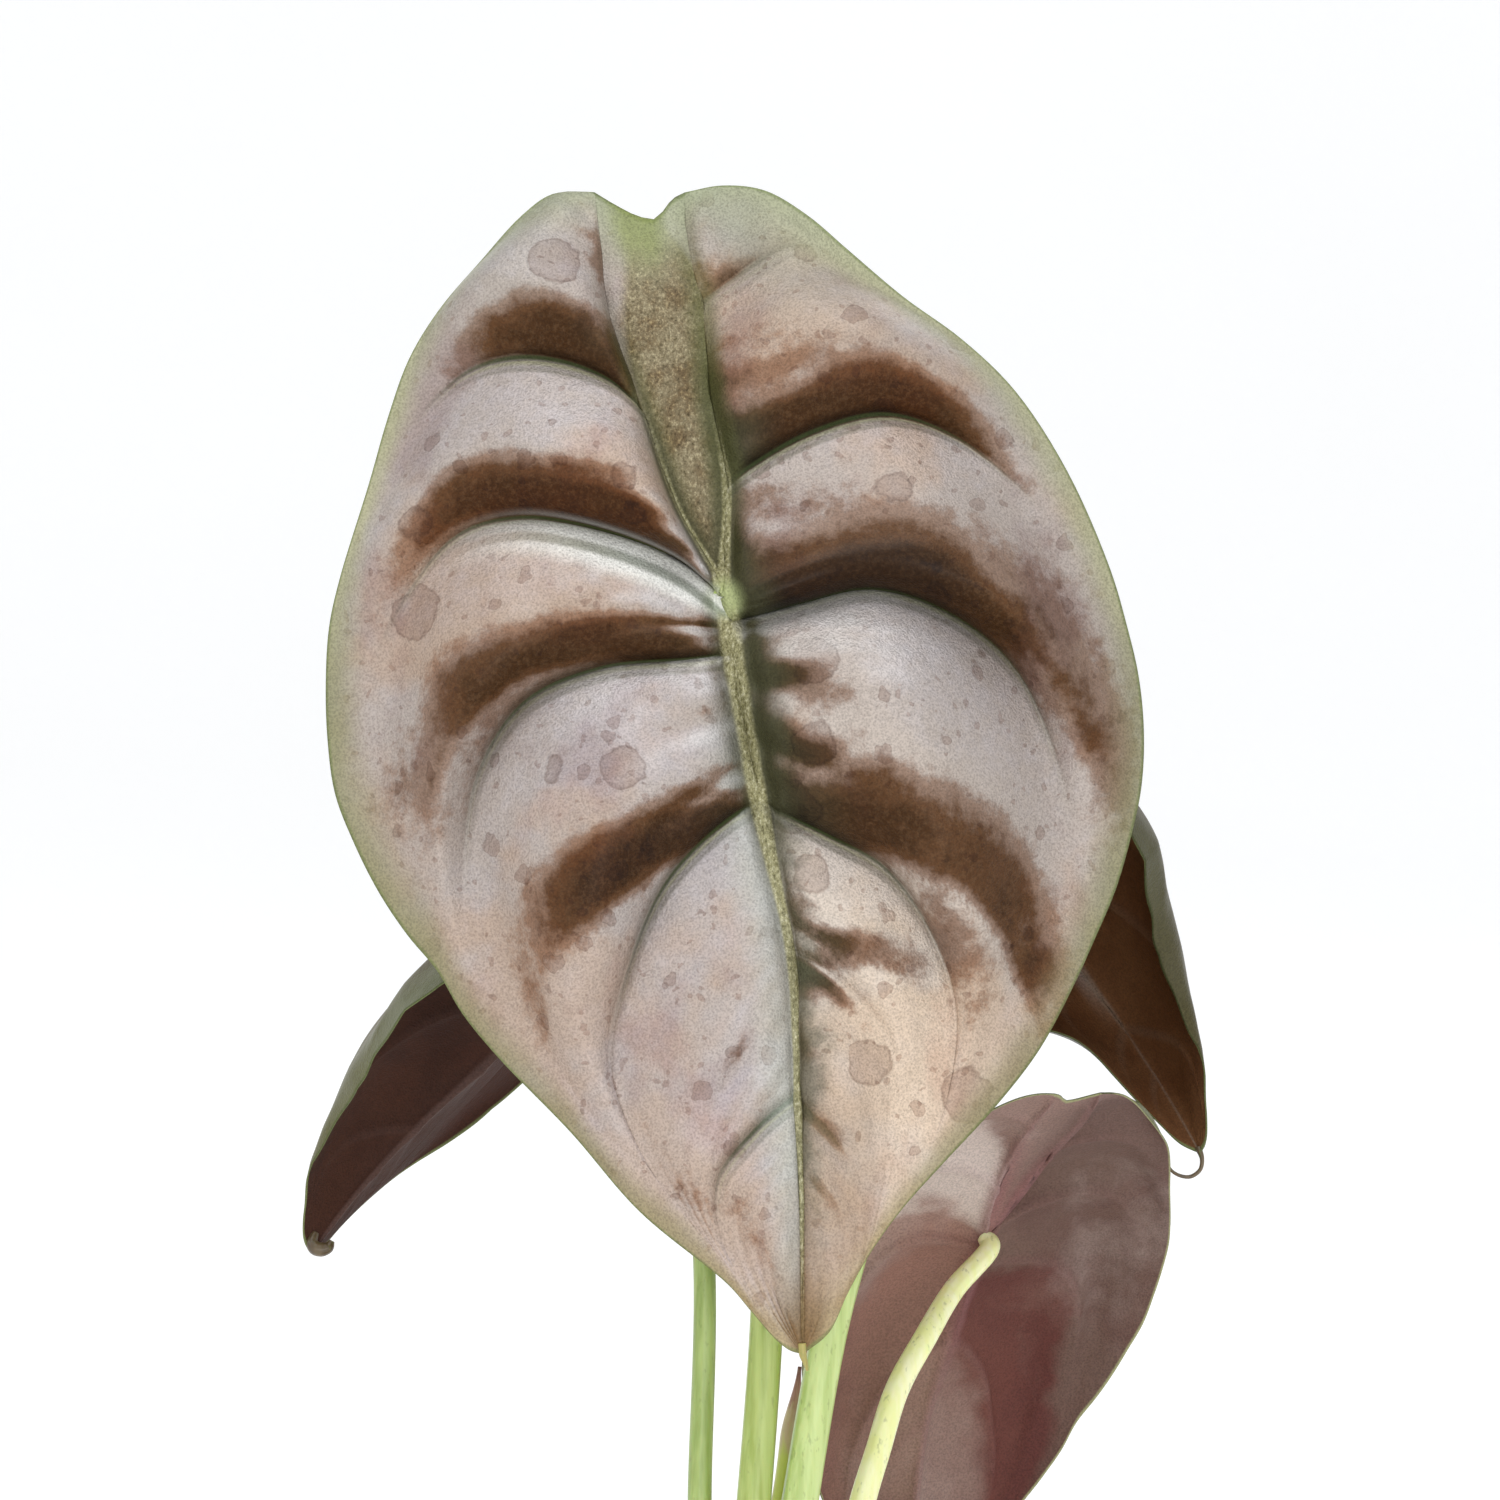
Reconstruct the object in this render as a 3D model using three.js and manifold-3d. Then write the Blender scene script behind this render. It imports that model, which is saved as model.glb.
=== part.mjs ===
// Potted red secret alocasia (Alocasia cuprea): one large coppery leaf faces the front, three more
// hang behind it, and a new leaf stands rolled up between the stalks. Millimetres, +Z up, the origin
// in the middle of the pot's underside, the plant's front towards -Y.
import * as THREE from 'three';
import { mergeVertices } from 'three/addons/utils/BufferGeometryUtils.js';
import Module from 'manifold-3d';

// Pot, soil and rootstock
const POT_HEIGHT = 125;
const POT_BASE_RADIUS = 47;
const POT_RIM_RADIUS = 70;
const POT_BODY_TOP_RADIUS = 64;
const RIM_HEIGHT = 23;
const POT_WALL = 5.5;
const DRAIN_HOLE_RADIUS = 4;
const DRAIN_HOLE_CIRCLE = 25;
const SOIL_TOP = 111;
const CROWN_TOP = 116;
const CROWN_RADIUS = 15.5;
const GAP = 0.3;

// Blades
const MAIN_THICKNESS = 1.0;
const REAR_THICKNESS = 0.9;
const MAIN_JOINT = new THREE.Vector3(3.2, -8, 391.4);
const MAIN_STRETCH = { x: 1.032, z: 1.015 };
const MAIN_TILT = 0.21;
const RELIEF = 0.27;
const REAR_SWELL = 0.4;

// The blade, laid flat and seen from above: [station, x, z] in millimetres from the petiole joint.
// Stations 0 to 12 run down the two basal ribs to the joint, 12 to 35 down the midrib to the tip.
const MIDRIB = [
  [12, 0, 0], [16, 0.8, -4.8], [19, 1.8, -11.4], [25, 7, -41],
  [28, 12.8, -70.4], [31, 14.4, -99.4], [33, 15.2, -118.4], [35, 15.6, -151.8],
];
const LEFT_RIB = [[0, -26.6, 81.6], [2, -25.4, 70.6], [4.5, -23.8, 57.6], [7, -16.8, 38], [9.5, -9.6, 17.6]];
const RIGHT_RIB = [[0, -8.2, 81.6], [2, -7.4, 70.6], [4, -4.6, 59], [6.5, -2.6, 40.6], [9, 0.4, 22.8]];
const LEFT_MARGIN = [
  [0, -26.6, 81.6], [1, -35.2, 81.2], [2, -41.4, 76.8], [3, -49.6, 67.6], [4, -58, 57.6],
  [5, -64, 47.6], [6, -68.2, 35.6], [7, -71.8, 22.6], [9, -77.8, 2.6], [10, -79.8, -6.8],
  [11, -80.4, -18], [12, -80, -29.4], [13, -78.4, -40.4], [14, -74.6, -50], [15, -69.4, -60],
  [16, -63.6, -68.4], [17, -57.6, -75.4], [18, -52.4, -84], [19, -45, -92.8], [21, -30.6, -107.4],
  [23, -17, -123], [25, 0.6, -137.6], [28, 5.4, -143.2], [31, 10.2, -148.8], [33, 13, -151],
  [35, 15.6, -151.8],
];
const RIGHT_MARGIN = [
  [0, -8.2, 81.6], [1, -0.6, 83], [2, 8, 82], [3, 16.6, 77], [4, 25, 69.8], [5, 36, 60.4],
  [6, 48, 51.6], [7, 58.6, 41.2], [8, 69, 25], [9, 77.6, 5.2], [10, 81, -6.4], [11, 83.4, -17],
  [12, 84.4, -28.4], [13, 83.8, -39.4], [14, 81.6, -49.4], [15, 78.4, -60], [16, 74, -70],
  [17, 70.6, -77.4], [19, 63, -91.4], [21, 54, -102.8], [23, 44, -113.4], [25, 35.4, -122.8],
  [28, 29, -131.6], [31, 24.6, -139.4], [33, 20.8, -147.4], [35, 15.6, -151.8],
];
// Lateral veins by station: the points between the spine and the margin.
const LEFT_VEINS = {
  7: [[-23, 43.6], [-33, 47.4], [-43, 48], [-52, 45], [-63, 34.6]],
  12: [[-8.2, 7.2], [-21.8, 13], [-40.2, 16.2], [-53.4, 12.4], [-64.2, -0.4], [-71, -13.4]],
  19: [[-7.6, -12.2], [-24.8, -14], [-40.2, -21], [-49.4, -35.4], [-52.2, -54.4], [-50.6, -72.4]],
  25: [[1, -44], [-11.6, -56.6], [-19.6, -75], [-23, -94], [-15.8, -113], [-6, -126]],
  31: [[6.2, -106.4], [-1.4, -116.4], [-0.6, -128.4]],
};
const RIGHT_VEINS = {
  4: [[0.8, 63], [6.4, 67], [13, 70.6]],
  9: [[6.4, 27.4], [18, 33.6], [32.4, 36.8], [46.6, 32], [63, 18.6]],
  16: [[15, -1], [29.6, 2], [45, -3], [58, -14], [65.6, -29.8], [70.6, -50.4]],
  25: [[20.8, -47.6], [32.4, -54.4], [42, -68.4], [46.4, -84.8], [44, -102.4]],
  28: [[22, -76.4], [32, -87.4], [35, -102.4], [33, -118.4]],
  31: [[22, -107], [28.6, -118.4], [28.2, -129.4]],
  33: [[19.4, -124.6], [22.6, -132.8]],
};
const NOTCH = [[-26.6, 81.6], [-22.6, 79.2], [-17.8, 76.8], [-14.2, 76.2], [-12.6, 77.8], [-10.8, 80.2], [-8.2, 81.6]];
// The swell of the blade between two veins: [height, share of the way to the margin where it ends].
const BAND_SWELL = {
  left: [[0.85, 0.9], [1, 0.95], [1.05, 0.95], [0.9, 0.8], [0.34, 0.8], [0.12, 0.5]],
  right: [
    [0.6, 0.85], [0.9, 0.95], [1, 0.95], [1, 0.85], [0.5, 0.6], [0.3, 0.5], [0.2, 0.5], [0.15, 0.5],
  ],
};
// Half width of the flat blade on each side of its axis: [distance towards the tip, left, right].
const HALF_WIDTH = [
  [-82, 25, 33], [-65, 39, 43], [-50, 53, 60], [-30, 64, 72], [0, 78, 79], [30, 85, 79],
  [50, 83, 73], [70, 75, 61], [90, 61, 50], [110, 43, 32], [125, 30, 19], [140, 13, 9], [151, 2, 1],
];

// How each rear blade hangs. Angles in radians, the joint's place in millimetres.
const POSES = {
  left: {
    at: [-18, 34, 313.2], turn: [3.431, -0.863, -0.711], scale: 0.655, wide: 1.035, mirror: true,
    fold: [-0.345, -0.819], cross: [1.493, 0.209], lip: [0.802, 0.852], lipBack: [0.115, 0.3],
    flare: [0.024, 0], twist: -0.311, bend: 0.583, back: -0.74, tipCurl: 0.353, sway: -0.707,
  },
  right: {
    at: [51.9, 63, 343.4], turn: [3.111, -0.602, 0.761], scale: 0.676, wide: 1.009, mirror: false,
    fold: [0.182, 0.769], cross: [0.734, 1.09], lip: [1.888, -0.262], lipBack: [0.904, 0.6],
    flare: [0.032, 0.327], twist: -0.084, bend: 1.182, back: 0.6, tipCurl: 0.127, sway: -0.517,
  },
  lower: {
    at: [59.5, 42, 248.7], turn: [3.234, -0.573, -0.049], scale: 0.68, wide: 0.78, mirror: false,
    fold: [-0.296, 0.095], cross: [0.36, 0.546], lip: [0.61, 0.81], lipBack: [0.297, 0.3],
    flare: [0, -0.3], twist: -0.379, bend: 0.876, back: 0.474, tipCurl: -0.254, sway: 0.025,
  },
};

// Stalks: the route from the crown to just under the blade, the radius by share of its length,
// the length of the straight end that meets the blade and, in a folded blade, its distance to it.
const STALKS = {
  main: {
    route: [
      [1.5, -8.5, 111], [1.8, -8, 122], [7.3, -1, 178.8], [9.5, 1.5, 203], [12, 4, 240],
      [12.8, 3, 300], [9.5, 2, 350], [5, 3.5, 379],
    ],
    radii: [[0, 4.6], [0.25, 3.7], [0.5, 3.4], [0.9, 3.1], [1, 2.6]],
    straight: 9,
  },
  left: {
    route: [
      [-8.5, -0.5, 111], [-8.2, -0.3, 122], [-2.6, 4, 177.4], [-2.2, 7, 201.8], [-1.3, 12, 249.2],
      [-5, 19, 284],
    ],
    radii: [[0, 4], [0.3, 2.7], [0.6, 2.3], [1, 1.9]],
    straight: 9,
  },
  right: {
    route: [
      [8.5, -1, 111], [8.8, -0.9, 122], [15.8, 1, 178.4], [19, 2, 199.6], [26.3, 6, 239.6],
      [36, 11, 270], [50, 21, 300], [59, 39, 322],
    ],
    radii: [[0, 4.8], [0.3, 3.9], [0.55, 3.6], [0.85, 3], [1, 1.5]],
    straight: 9,
    seat: 0.75,
  },
  lower: {
    route: [
      [4.3, 8.4, 111], [5.2, 8.6, 122], [18, 10, 155], [27.6, 11, 176], [32.4, 12, 197.4],
      [35.6, 14, 207.6], [39.7, 17, 220.2], [46, 22, 230.8], [52.2, 30.5, 239.3],
    ],
    radii: [[0, 4.1], [0.4, 2.8], [0.7, 2.5], [1, 2]],
    straight: 3,
  },
};

// Colours
const COLOURS = {
  pot: 0xb0694a, soil: 0x3b2c22, rootstock: 0x6b4a33, sheath: 0xa68a5c,
  mainBlade: 0xa38c80, rearBlade: 0x4d2f2a, lowerBlade: 0x85605a,
  mainStalk: 0xb5c76a, leftStalk: 0x9db25e, rightStalk: 0xc5db85, lowerStalk: 0xdff08a, newLeaf: 0xb7b45c,
};

const wasm = await Module();
wasm.setup();

// Small helpers
const clamp01 = (value) => Math.min(Math.max(value, 0), 1);

function smoothstep(from, to, value) {
  const t = clamp01((value - from) / (to - from));
  return t * t * (3 - 2 * t);
}

function interpolate(table, value, column) {
  if (value <= table[0][0]) {
    return table[0][column];
  }
  for (let i = 1; i < table.length; i += 1) {
    const [before, after] = [table[i - 1], table[i]];
    if (value <= after[0]) {
      const t = (value - before[0]) / (after[0] - before[0]);
      return before[column] * (1 - t) + after[column] * t;
    }
  }
  return table[table.length - 1][column];
}

function curveThrough(points) {
  const vectors = points.map(([x, z]) => new THREE.Vector3(x, z, 0));
  return new THREE.CatmullRomCurve3(vectors, false, 'centripetal');
}

// A curve that is read by station instead of by length.
function stationCurve(controls) {
  const curve = curveThrough(controls.map(([, x, z]) => [x, z]));
  return (station) => {
    let i = 1;
    while (i < controls.length - 1 && controls[i][0] < station) {
      i += 1;
    }
    const share = clamp01((station - controls[i - 1][0]) / (controls[i][0] - controls[i - 1][0]));
    return curve.getPoint((i - 1 + share) / (controls.length - 1));
  };
}

// The flat blade as rows of points between its veins, with the swell of the blade above each point.
class BladePattern {
  constructor(columns) {
    this.columns = columns;
    this.points = [];
    this.triangles = [];
    this.seen = new Map();
    const left = { spine: stationCurve([...LEFT_RIB, ...MIDRIB]), margin: stationCurve(LEFT_MARGIN) };
    const right = { spine: stationCurve([...RIGHT_RIB, ...MIDRIB]), margin: stationCurve(RIGHT_MARGIN) };
    this.addHalf(left, LEFT_VEINS, BAND_SWELL.left, false);
    this.addHalf(right, RIGHT_VEINS, BAND_SWELL.right, true);
    this.addWeb(left.spine, right.spine);
  }

  vertex(x, z, height) {
    const key = `${x.toFixed(2)},${z.toFixed(2)}`;
    if (!this.seen.has(key)) {
      this.seen.set(key, this.points.length);
      this.points.push({ x, z, height });
    }
    return this.seen.get(key);
  }

  addRows(rows, flipped) {
    for (let k = 0; k + 1 < rows.length; k += 1) {
      for (let j = 0; j + 1 < rows[k].length; j += 1) {
        const [a, b, c, d] = [rows[k][j], rows[k][j + 1], rows[k + 1][j + 1], rows[k + 1][j]];
        for (const corner of flipped ? [[a, d, c], [a, c, b]] : [[a, b, c], [a, c, d]]) {
          if (new Set(corner).size === 3) {
            this.triangles.push(corner);
          }
        }
      }
    }
  }

  // A patch between two neighbouring veins follows both of them, the spine and the margin.
  addHalf({ spine, margin }, veins, swell, flipped) {
    const knots = [0, ...Object.keys(veins).map(Number), 35];
    const veinPoint = (station) => {
      const ends = [spine(station), margin(station)].map((point) => [point.x, point.y]);
      if (!(station in veins)) {
        return (u) => spine(station).lerp(margin(station), u);
      }
      const curve = curveThrough([ends[0], ...veins[station], ends[1]]);
      return (u) => curve.getPointAt(u);
    };
    for (let band = 0; band + 1 < knots.length; band += 1) {
      const [first, last] = [knots[band], knots[band + 1]];
      const [height, reach] = swell[band];
      const [upper, lower] = [veinPoint(first), veinPoint(last)];
      const corners = [upper(0), upper(1), lower(0), lower(1)];
      const rows = [];
      for (let station = first; station <= last; station += 1) {
        const w = (station - first) / (last - first);
        const [inner, outer] = [spine(station), margin(station)];
        rows.push(this.columns.map((u) => {
          const [top, bottom] = [upper(u), lower(u)];
          const place = (axis) => (1 - w) * top[axis] + w * bottom[axis]
            + (1 - u) * inner[axis] + u * outer[axis]
            - (1 - u) * (1 - w) * corners[0][axis] - u * (1 - w) * corners[1][axis]
            - (1 - u) * w * corners[2][axis] - u * w * corners[3][axis];
          const [x, z] = [place('x'), place('y')];
          const gentle = 4 + 12 * Math.max(0, 1 - station / 6);
          const rise = 1 - Math.exp(-Math.hypot(x - inner.x, z - inner.y) / gentle);
          const fall = 1 - smoothstep(0.35 * reach, 1.05 * reach, u);
          const arch = Math.abs(Math.sin(Math.PI * w ** 1.35)) ** (0.75 + 0.6 * smoothstep(0.35, 0.8, u));
          const width = top.distanceTo(bottom);
          return this.vertex(x, z, RELIEF * height * width * arch * rise * fall);
        }));
      }
      this.addRows(rows, flipped);
    }
  }

  // The strip between the two basal ribs, from the notch down to the joint.
  addWeb(leftRib, rightRib) {
    const notch = curveThrough(NOTCH);
    const rows = [];
    for (let station = 0; station <= 12; station += 1) {
      const lift = clamp01(1 - station / 3) ** 2;
      rows.push([0, 1 / 3, 2 / 3, 1].map((share) => {
        const point = leftRib(station).lerp(rightRib(station), share);
        const straight = leftRib(0).lerp(rightRib(0), share);
        point.add(notch.getPointAt(share).sub(straight).multiplyScalar(lift));
        return this.vertex(point.x, point.y, 0);
      }));
    }
    this.addRows(rows, true);
  }
}

// The blade's own axis bends a little: its sideways place at a distance towards the tip.
function axisAt(distance) {
  if (distance < 0) {
    return distance * 0.197;
  }
  return interpolate(MIDRIB.map(([, x, z]) => [-z, x]), distance, 1);
}

// The main blade faces the front, domed, with its upper edge leaning back.
function facePose({ x, z, height }) {
  const dome = 12 * (x / 82) ** 2 + (z > 0 ? 14 * (z / 82) ** 2 : 9 * (z / 150) ** 2);
  const flat = new THREE.Vector3(x * MAIN_STRETCH.x, z * MAIN_TILT + dome - height, z * MAIN_STRETCH.z);
  return flat.add(MAIN_JOINT);
}

// A hanging blade: its halves fold and roll about the midrib, which bends on both sides of the joint.
function hangPose(pose) {
  const STEPS = 14;
  const [yaw, pitch, roll] = pose.turn;
  const turn = new THREE.Matrix4().makeRotationZ(yaw)
    .multiply(new THREE.Matrix4().makeRotationX(pitch))
    .multiply(new THREE.Matrix4().makeRotationY(roll));
  const midribAngle = (t) => (t > 0 ? pose.bend * t / 150 + pose.tipCurl * (t / 150) ** 4 : pose.back * t / 80);
  return ({ x, z, height }) => {
    const t = -z;
    const axis = axisAt(t);
    const aside = x - axis;
    const side = aside < 0 ? 0 : 1;
    const softWidth = Math.hypot(interpolate(HALF_WIDTH, t, side + 1), 18);
    const reach = Math.abs(aside) / softWidth;
    const twist = pose.twist * THREE.MathUtils.clamp(t, -60, 150) / 150 * (side === 0 ? 1 : -1);
    const flare = pose.flare[side] * Math.exp(-(((t - 105) / 28) ** 2));
    const lip = THREE.MathUtils.lerp(pose.lipBack[side], pose.lip[side], smoothstep(40, 100, t));
    const crossAngle = (v) => pose.fold[side] + twist + flare + pose.cross[side] * v
      + lip * smoothstep(0.7, 1, v);
    let [across, drop, along, sink] = [0, 0, 0, 0];
    for (let i = 0; i < STEPS; i += 1) {
      const share = (i + 0.5) / STEPS;
      across += Math.cos(crossAngle(share * reach)) / STEPS;
      drop -= Math.sin(crossAngle(share * reach)) / STEPS;
      along += Math.cos(midribAngle(share * t)) / STEPS;
      sink -= Math.sin(midribAngle(share * t)) / STEPS;
    }
    const swell = height * pose.scale * REAR_SWELL;
    const width = Math.abs(aside) * pose.scale * pose.wide;
    const up = drop * width + swell * Math.cos(crossAngle(reach));
    const out = across * width + swell * Math.sin(crossAngle(reach));
    const beta = midribAngle(t);
    const local = new THREE.Vector3(
      (side === 0 ? -out : out) + axis * pose.scale + pose.sway * (t / 100) ** 2 * 10,
      -(sink * t * pose.scale + up * Math.cos(beta)),
      -(along * t * pose.scale + up * Math.sin(beta)),
    );
    local.x *= pose.mirror ? -1 : 1;
    return local.applyMatrix4(turn).add(new THREE.Vector3(...pose.at));
  };
}

// A closed blade: the same triangles on both faces, half a thickness to each side, and the rim.
function bladeSolid(pattern, place, thickness, mirrored) {
  const middle = pattern.points.map(place);
  const faces = pattern.triangles.map(([a, b, c]) => (mirrored ? [a, c, b] : [a, b, c]));
  const normals = middle.map(() => new THREE.Vector3());
  const edges = new Map();
  for (const [a, b, c] of faces) {
    const normal = new THREE.Vector3().subVectors(middle[b], middle[a]);
    normal.cross(new THREE.Vector3().subVectors(middle[c], middle[a]));
    for (const corner of [a, b, c]) {
      normals[corner].add(normal);
    }
    for (const [from, to] of [[a, b], [b, c], [c, a]]) {
      if (!edges.delete(`${to},${from}`)) {
        edges.set(`${from},${to}`, [from, to]);
      }
    }
  }
  const count = middle.length;
  const positions = [];
  for (const side of [1, -1]) {
    middle.forEach((point, i) => {
      positions.push(...point.clone().addScaledVector(normals[i].normalize(), side * thickness / 2));
    });
  }
  const index = [];
  for (const [a, b, c] of faces) {
    index.push(a, b, c, a + count, c + count, b + count);
  }
  for (const [from, to] of edges.values()) {
    index.push(from, from + count, to + count, from, to + count, to);
  }
  const geometry = new THREE.BufferGeometry();
  geometry.setAttribute('position', new THREE.Float32BufferAttribute(positions, 3));
  geometry.setIndex(index);
  return geometry;
}

// Where a blade's stalk ends, and the direction out of the blade's underside there.
function jointOf(place, mirrored) {
  const centre = place({ x: 0, z: 0, height: 0 });
  const right = place({ x: 3, z: 0, height: 0 }).sub(place({ x: -3, z: 0, height: 0 }));
  const up = place({ x: 0, z: 3, height: 0 }).sub(place({ x: 0, z: -3, height: 0 }));
  const under = up.cross(right).normalize();
  return { centre, under: mirrored ? under.negate() : under };
}

// A solid round stalk along a curve, with rings of the given radii and a rounded far end.
function stalkSolid(curve, segments, sides, radiusAt, roundLength) {
  const frames = curve.computeFrenetFrames(segments, false);
  const length = curve.getLength();
  const positions = [];
  const index = [];
  for (let i = 0; i <= segments; i += 1) {
    const u = i / segments;
    const centre = curve.getPointAt(u);
    const left = (1 - u) * length;
    const round = left < roundLength ? Math.sqrt(Math.max(1 - (1 - left / roundLength) ** 2, 0.12)) : 1;
    const radius = radiusAt(u) * round;
    for (let j = 0; j < sides; j += 1) {
      const angle = (j / sides) * Math.PI * 2;
      const point = centre.clone()
        .addScaledVector(frames.normals[i], radius * Math.cos(angle))
        .addScaledVector(frames.binormals[i], radius * Math.sin(angle));
      positions.push(...point);
    }
  }
  for (let i = 0; i < segments; i += 1) {
    for (let j = 0; j < sides; j += 1) {
      const [a, b] = [i * sides + j, i * sides + ((j + 1) % sides)];
      index.push(a, b, b + sides, a, b + sides, a + sides);
    }
  }
  const last = segments * sides;
  for (let j = 1; j + 1 < sides; j += 1) {
    index.push(0, j + 1, j, last, last + j, last + j + 1);
  }
  const geometry = new THREE.BufferGeometry();
  geometry.setAttribute('position', new THREE.Float32BufferAttribute(positions, 3));
  geometry.setIndex(index);
  return geometry;
}

function petiole({ route, radii, straight, seat = GAP }, joint, thickness) {
  const end = joint.centre.clone().addScaledVector(joint.under, thickness / 2 + seat);
  const before = joint.centre.clone().addScaledVector(joint.under, straight);
  const points = [...route.map((point) => new THREE.Vector3(...point)), before, end];
  const curve = new THREE.CatmullRomCurve3(points, false, 'centripetal');
  return stalkSolid(curve, 24, 9, (u) => interpolate(radii, u, 1), radii[radii.length - 1][1] * 0.9);
}

// Joining and cutting
function toManifold(geometry) {
  const bare = geometry.clone();
  bare.deleteAttribute('normal');
  bare.deleteAttribute('uv');
  const merged = mergeVertices(bare, 1e-4);
  return new wasm.Manifold(new wasm.Mesh({
    numProp: 3,
    vertProperties: new Float32Array(merged.attributes.position.array),
    triVerts: new Uint32Array(merged.index.array),
  }));
}

function fromManifold(solid) {
  const mesh = solid.getMesh();
  const geometry = new THREE.BufferGeometry();
  geometry.setAttribute('position', new THREE.BufferAttribute(mesh.vertProperties, 3));
  geometry.setIndex(new THREE.BufferAttribute(mesh.triVerts, 1));
  return geometry;
}

function lathe(profile, segments) {
  const geometry = new THREE.LatheGeometry(profile.map(([r, z]) => new THREE.Vector2(r, z)), segments);
  return geometry.rotateX(Math.PI / 2);
}

function rootSolid(points, clearance) {
  const curve = new THREE.CatmullRomCurve3(points.map((point) => new THREE.Vector3(...point)));
  return stalkSolid(curve, 8, 5, (u) => 1.7 - 0.8 * u + clearance, 0);
}

// The pot: a tapered wall with a rim collar, and four drain holes around the middle of its base.
function potSolid() {
  const inner = (z) => POT_BASE_RADIUS + (POT_BODY_TOP_RADIUS - POT_BASE_RADIUS) * (z / POT_HEIGHT) - POT_WALL;
  const outer = (z) => inner(z) + POT_WALL;
  const shoulder = POT_HEIGHT - RIM_HEIGHT;
  const shell = toManifold(lathe([
    [0, 0], [POT_BASE_RADIUS - 2, 0], [POT_BASE_RADIUS, 2], [outer(shoulder), shoulder],
    [POT_RIM_RADIUS - 2, shoulder + 1], [POT_RIM_RADIUS - 1, shoulder + 3], [POT_RIM_RADIUS, POT_HEIGHT - 2],
    [POT_RIM_RADIUS - 2, POT_HEIGHT], [inner(POT_HEIGHT) + 2, POT_HEIGHT], [inner(POT_HEIGHT), POT_HEIGHT - 2],
    [inner(9), 9], [inner(6) - 3, 6], [0, 6],
  ], 40));
  let pot = shell;
  for (let i = 0; i < 4; i += 1) {
    const angle = Math.PI / 4 + (i * Math.PI) / 2;
    const hole = new THREE.CylinderGeometry(DRAIN_HOLE_RADIUS, DRAIN_HOLE_RADIUS, 20, 8).rotateX(Math.PI / 2);
    hole.translate(DRAIN_HOLE_CIRCLE * Math.cos(angle), DRAIN_HOLE_CIRCLE * Math.sin(angle), 3);
    pot = pot.subtract(toManifold(hole));
  }
  return fromManifold(pot);
}

// The rootstock with six roots, drawn larger by a clearance when it cuts its own hole in the soil.
function rootstockManifold(clearance) {
  const c = clearance;
  let solid = toManifold(lathe([
    [0, 52 - c], [7 + c, 54 - c], [12 + c, 62 - c], [14.5 + c, 76], [13.5 + c, 90], [CROWN_RADIUS + c, 104],
    [CROWN_RADIUS + c, CROWN_TOP - 3], [CROWN_RADIUS - 1.5 + c, CROWN_TOP - 0.5 + c], [0, CROWN_TOP + c],
  ], 16));
  for (let i = 0; i < 6; i += 1) {
    const angle = 0.3 + (i * Math.PI) / 3;
    const reach = [30, 35, 28, 34, 31, 36][i];
    const depth = [24, 34, 20, 30, 26, 38][i];
    const bow = angle + 0.35;
    const root = rootSolid([
      [6 * Math.cos(angle), 6 * Math.sin(angle), 66],
      [18 * Math.cos(angle), 18 * Math.sin(angle), 60],
      [reach * 0.85 * Math.cos(bow), reach * 0.85 * Math.sin(bow), (60 + depth) / 2],
      [reach * Math.cos(bow), reach * Math.sin(bow), depth - c],
    ], c);
    solid = solid.add(toManifold(root));
  }
  return solid;
}

// Potting mix up to SOIL_TOP, a little uneven on top, flat round the crown.
function soilSolid() {
  const inner = (z) => POT_BASE_RADIUS + (POT_BODY_TOP_RADIUS - POT_BASE_RADIUS) * (z / POT_HEIGHT) - POT_WALL - 0.4;
  const geometry = lathe([
    [0, 6.3], [inner(6) - 3.4, 6.3], [inner(9) - 0.1, 9.2], [inner(60), 60], [inner(SOIL_TOP - 2), SOIL_TOP - 2],
    [inner(SOIL_TOP) - 2, SOIL_TOP], [50, SOIL_TOP], [42, SOIL_TOP], [34, SOIL_TOP], [26, SOIL_TOP],
    [19, SOIL_TOP], [0, SOIL_TOP],
  ], 28);
  const position = geometry.attributes.position;
  for (let i = 0; i < position.count; i += 1) {
    const [x, y, z] = [position.getX(i), position.getY(i), position.getZ(i)];
    const r = Math.hypot(x, y);
    if (z > SOIL_TOP - 1 && r > 20) {
      const fade = smoothstep(20, 28, r) * (1 - smoothstep(50, 56, r) * 0.7);
      const bump = Math.sin(x * 0.31 + 1) * Math.sin(y * 0.27 + 2) + 0.6 * Math.sin(x * 0.11 - y * 0.17);
      position.setZ(i, z + 1.4 * bump * fade);
    }
  }
  return fromManifold(toManifold(geometry).subtract(rootstockManifold(2 * GAP)));
}

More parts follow.
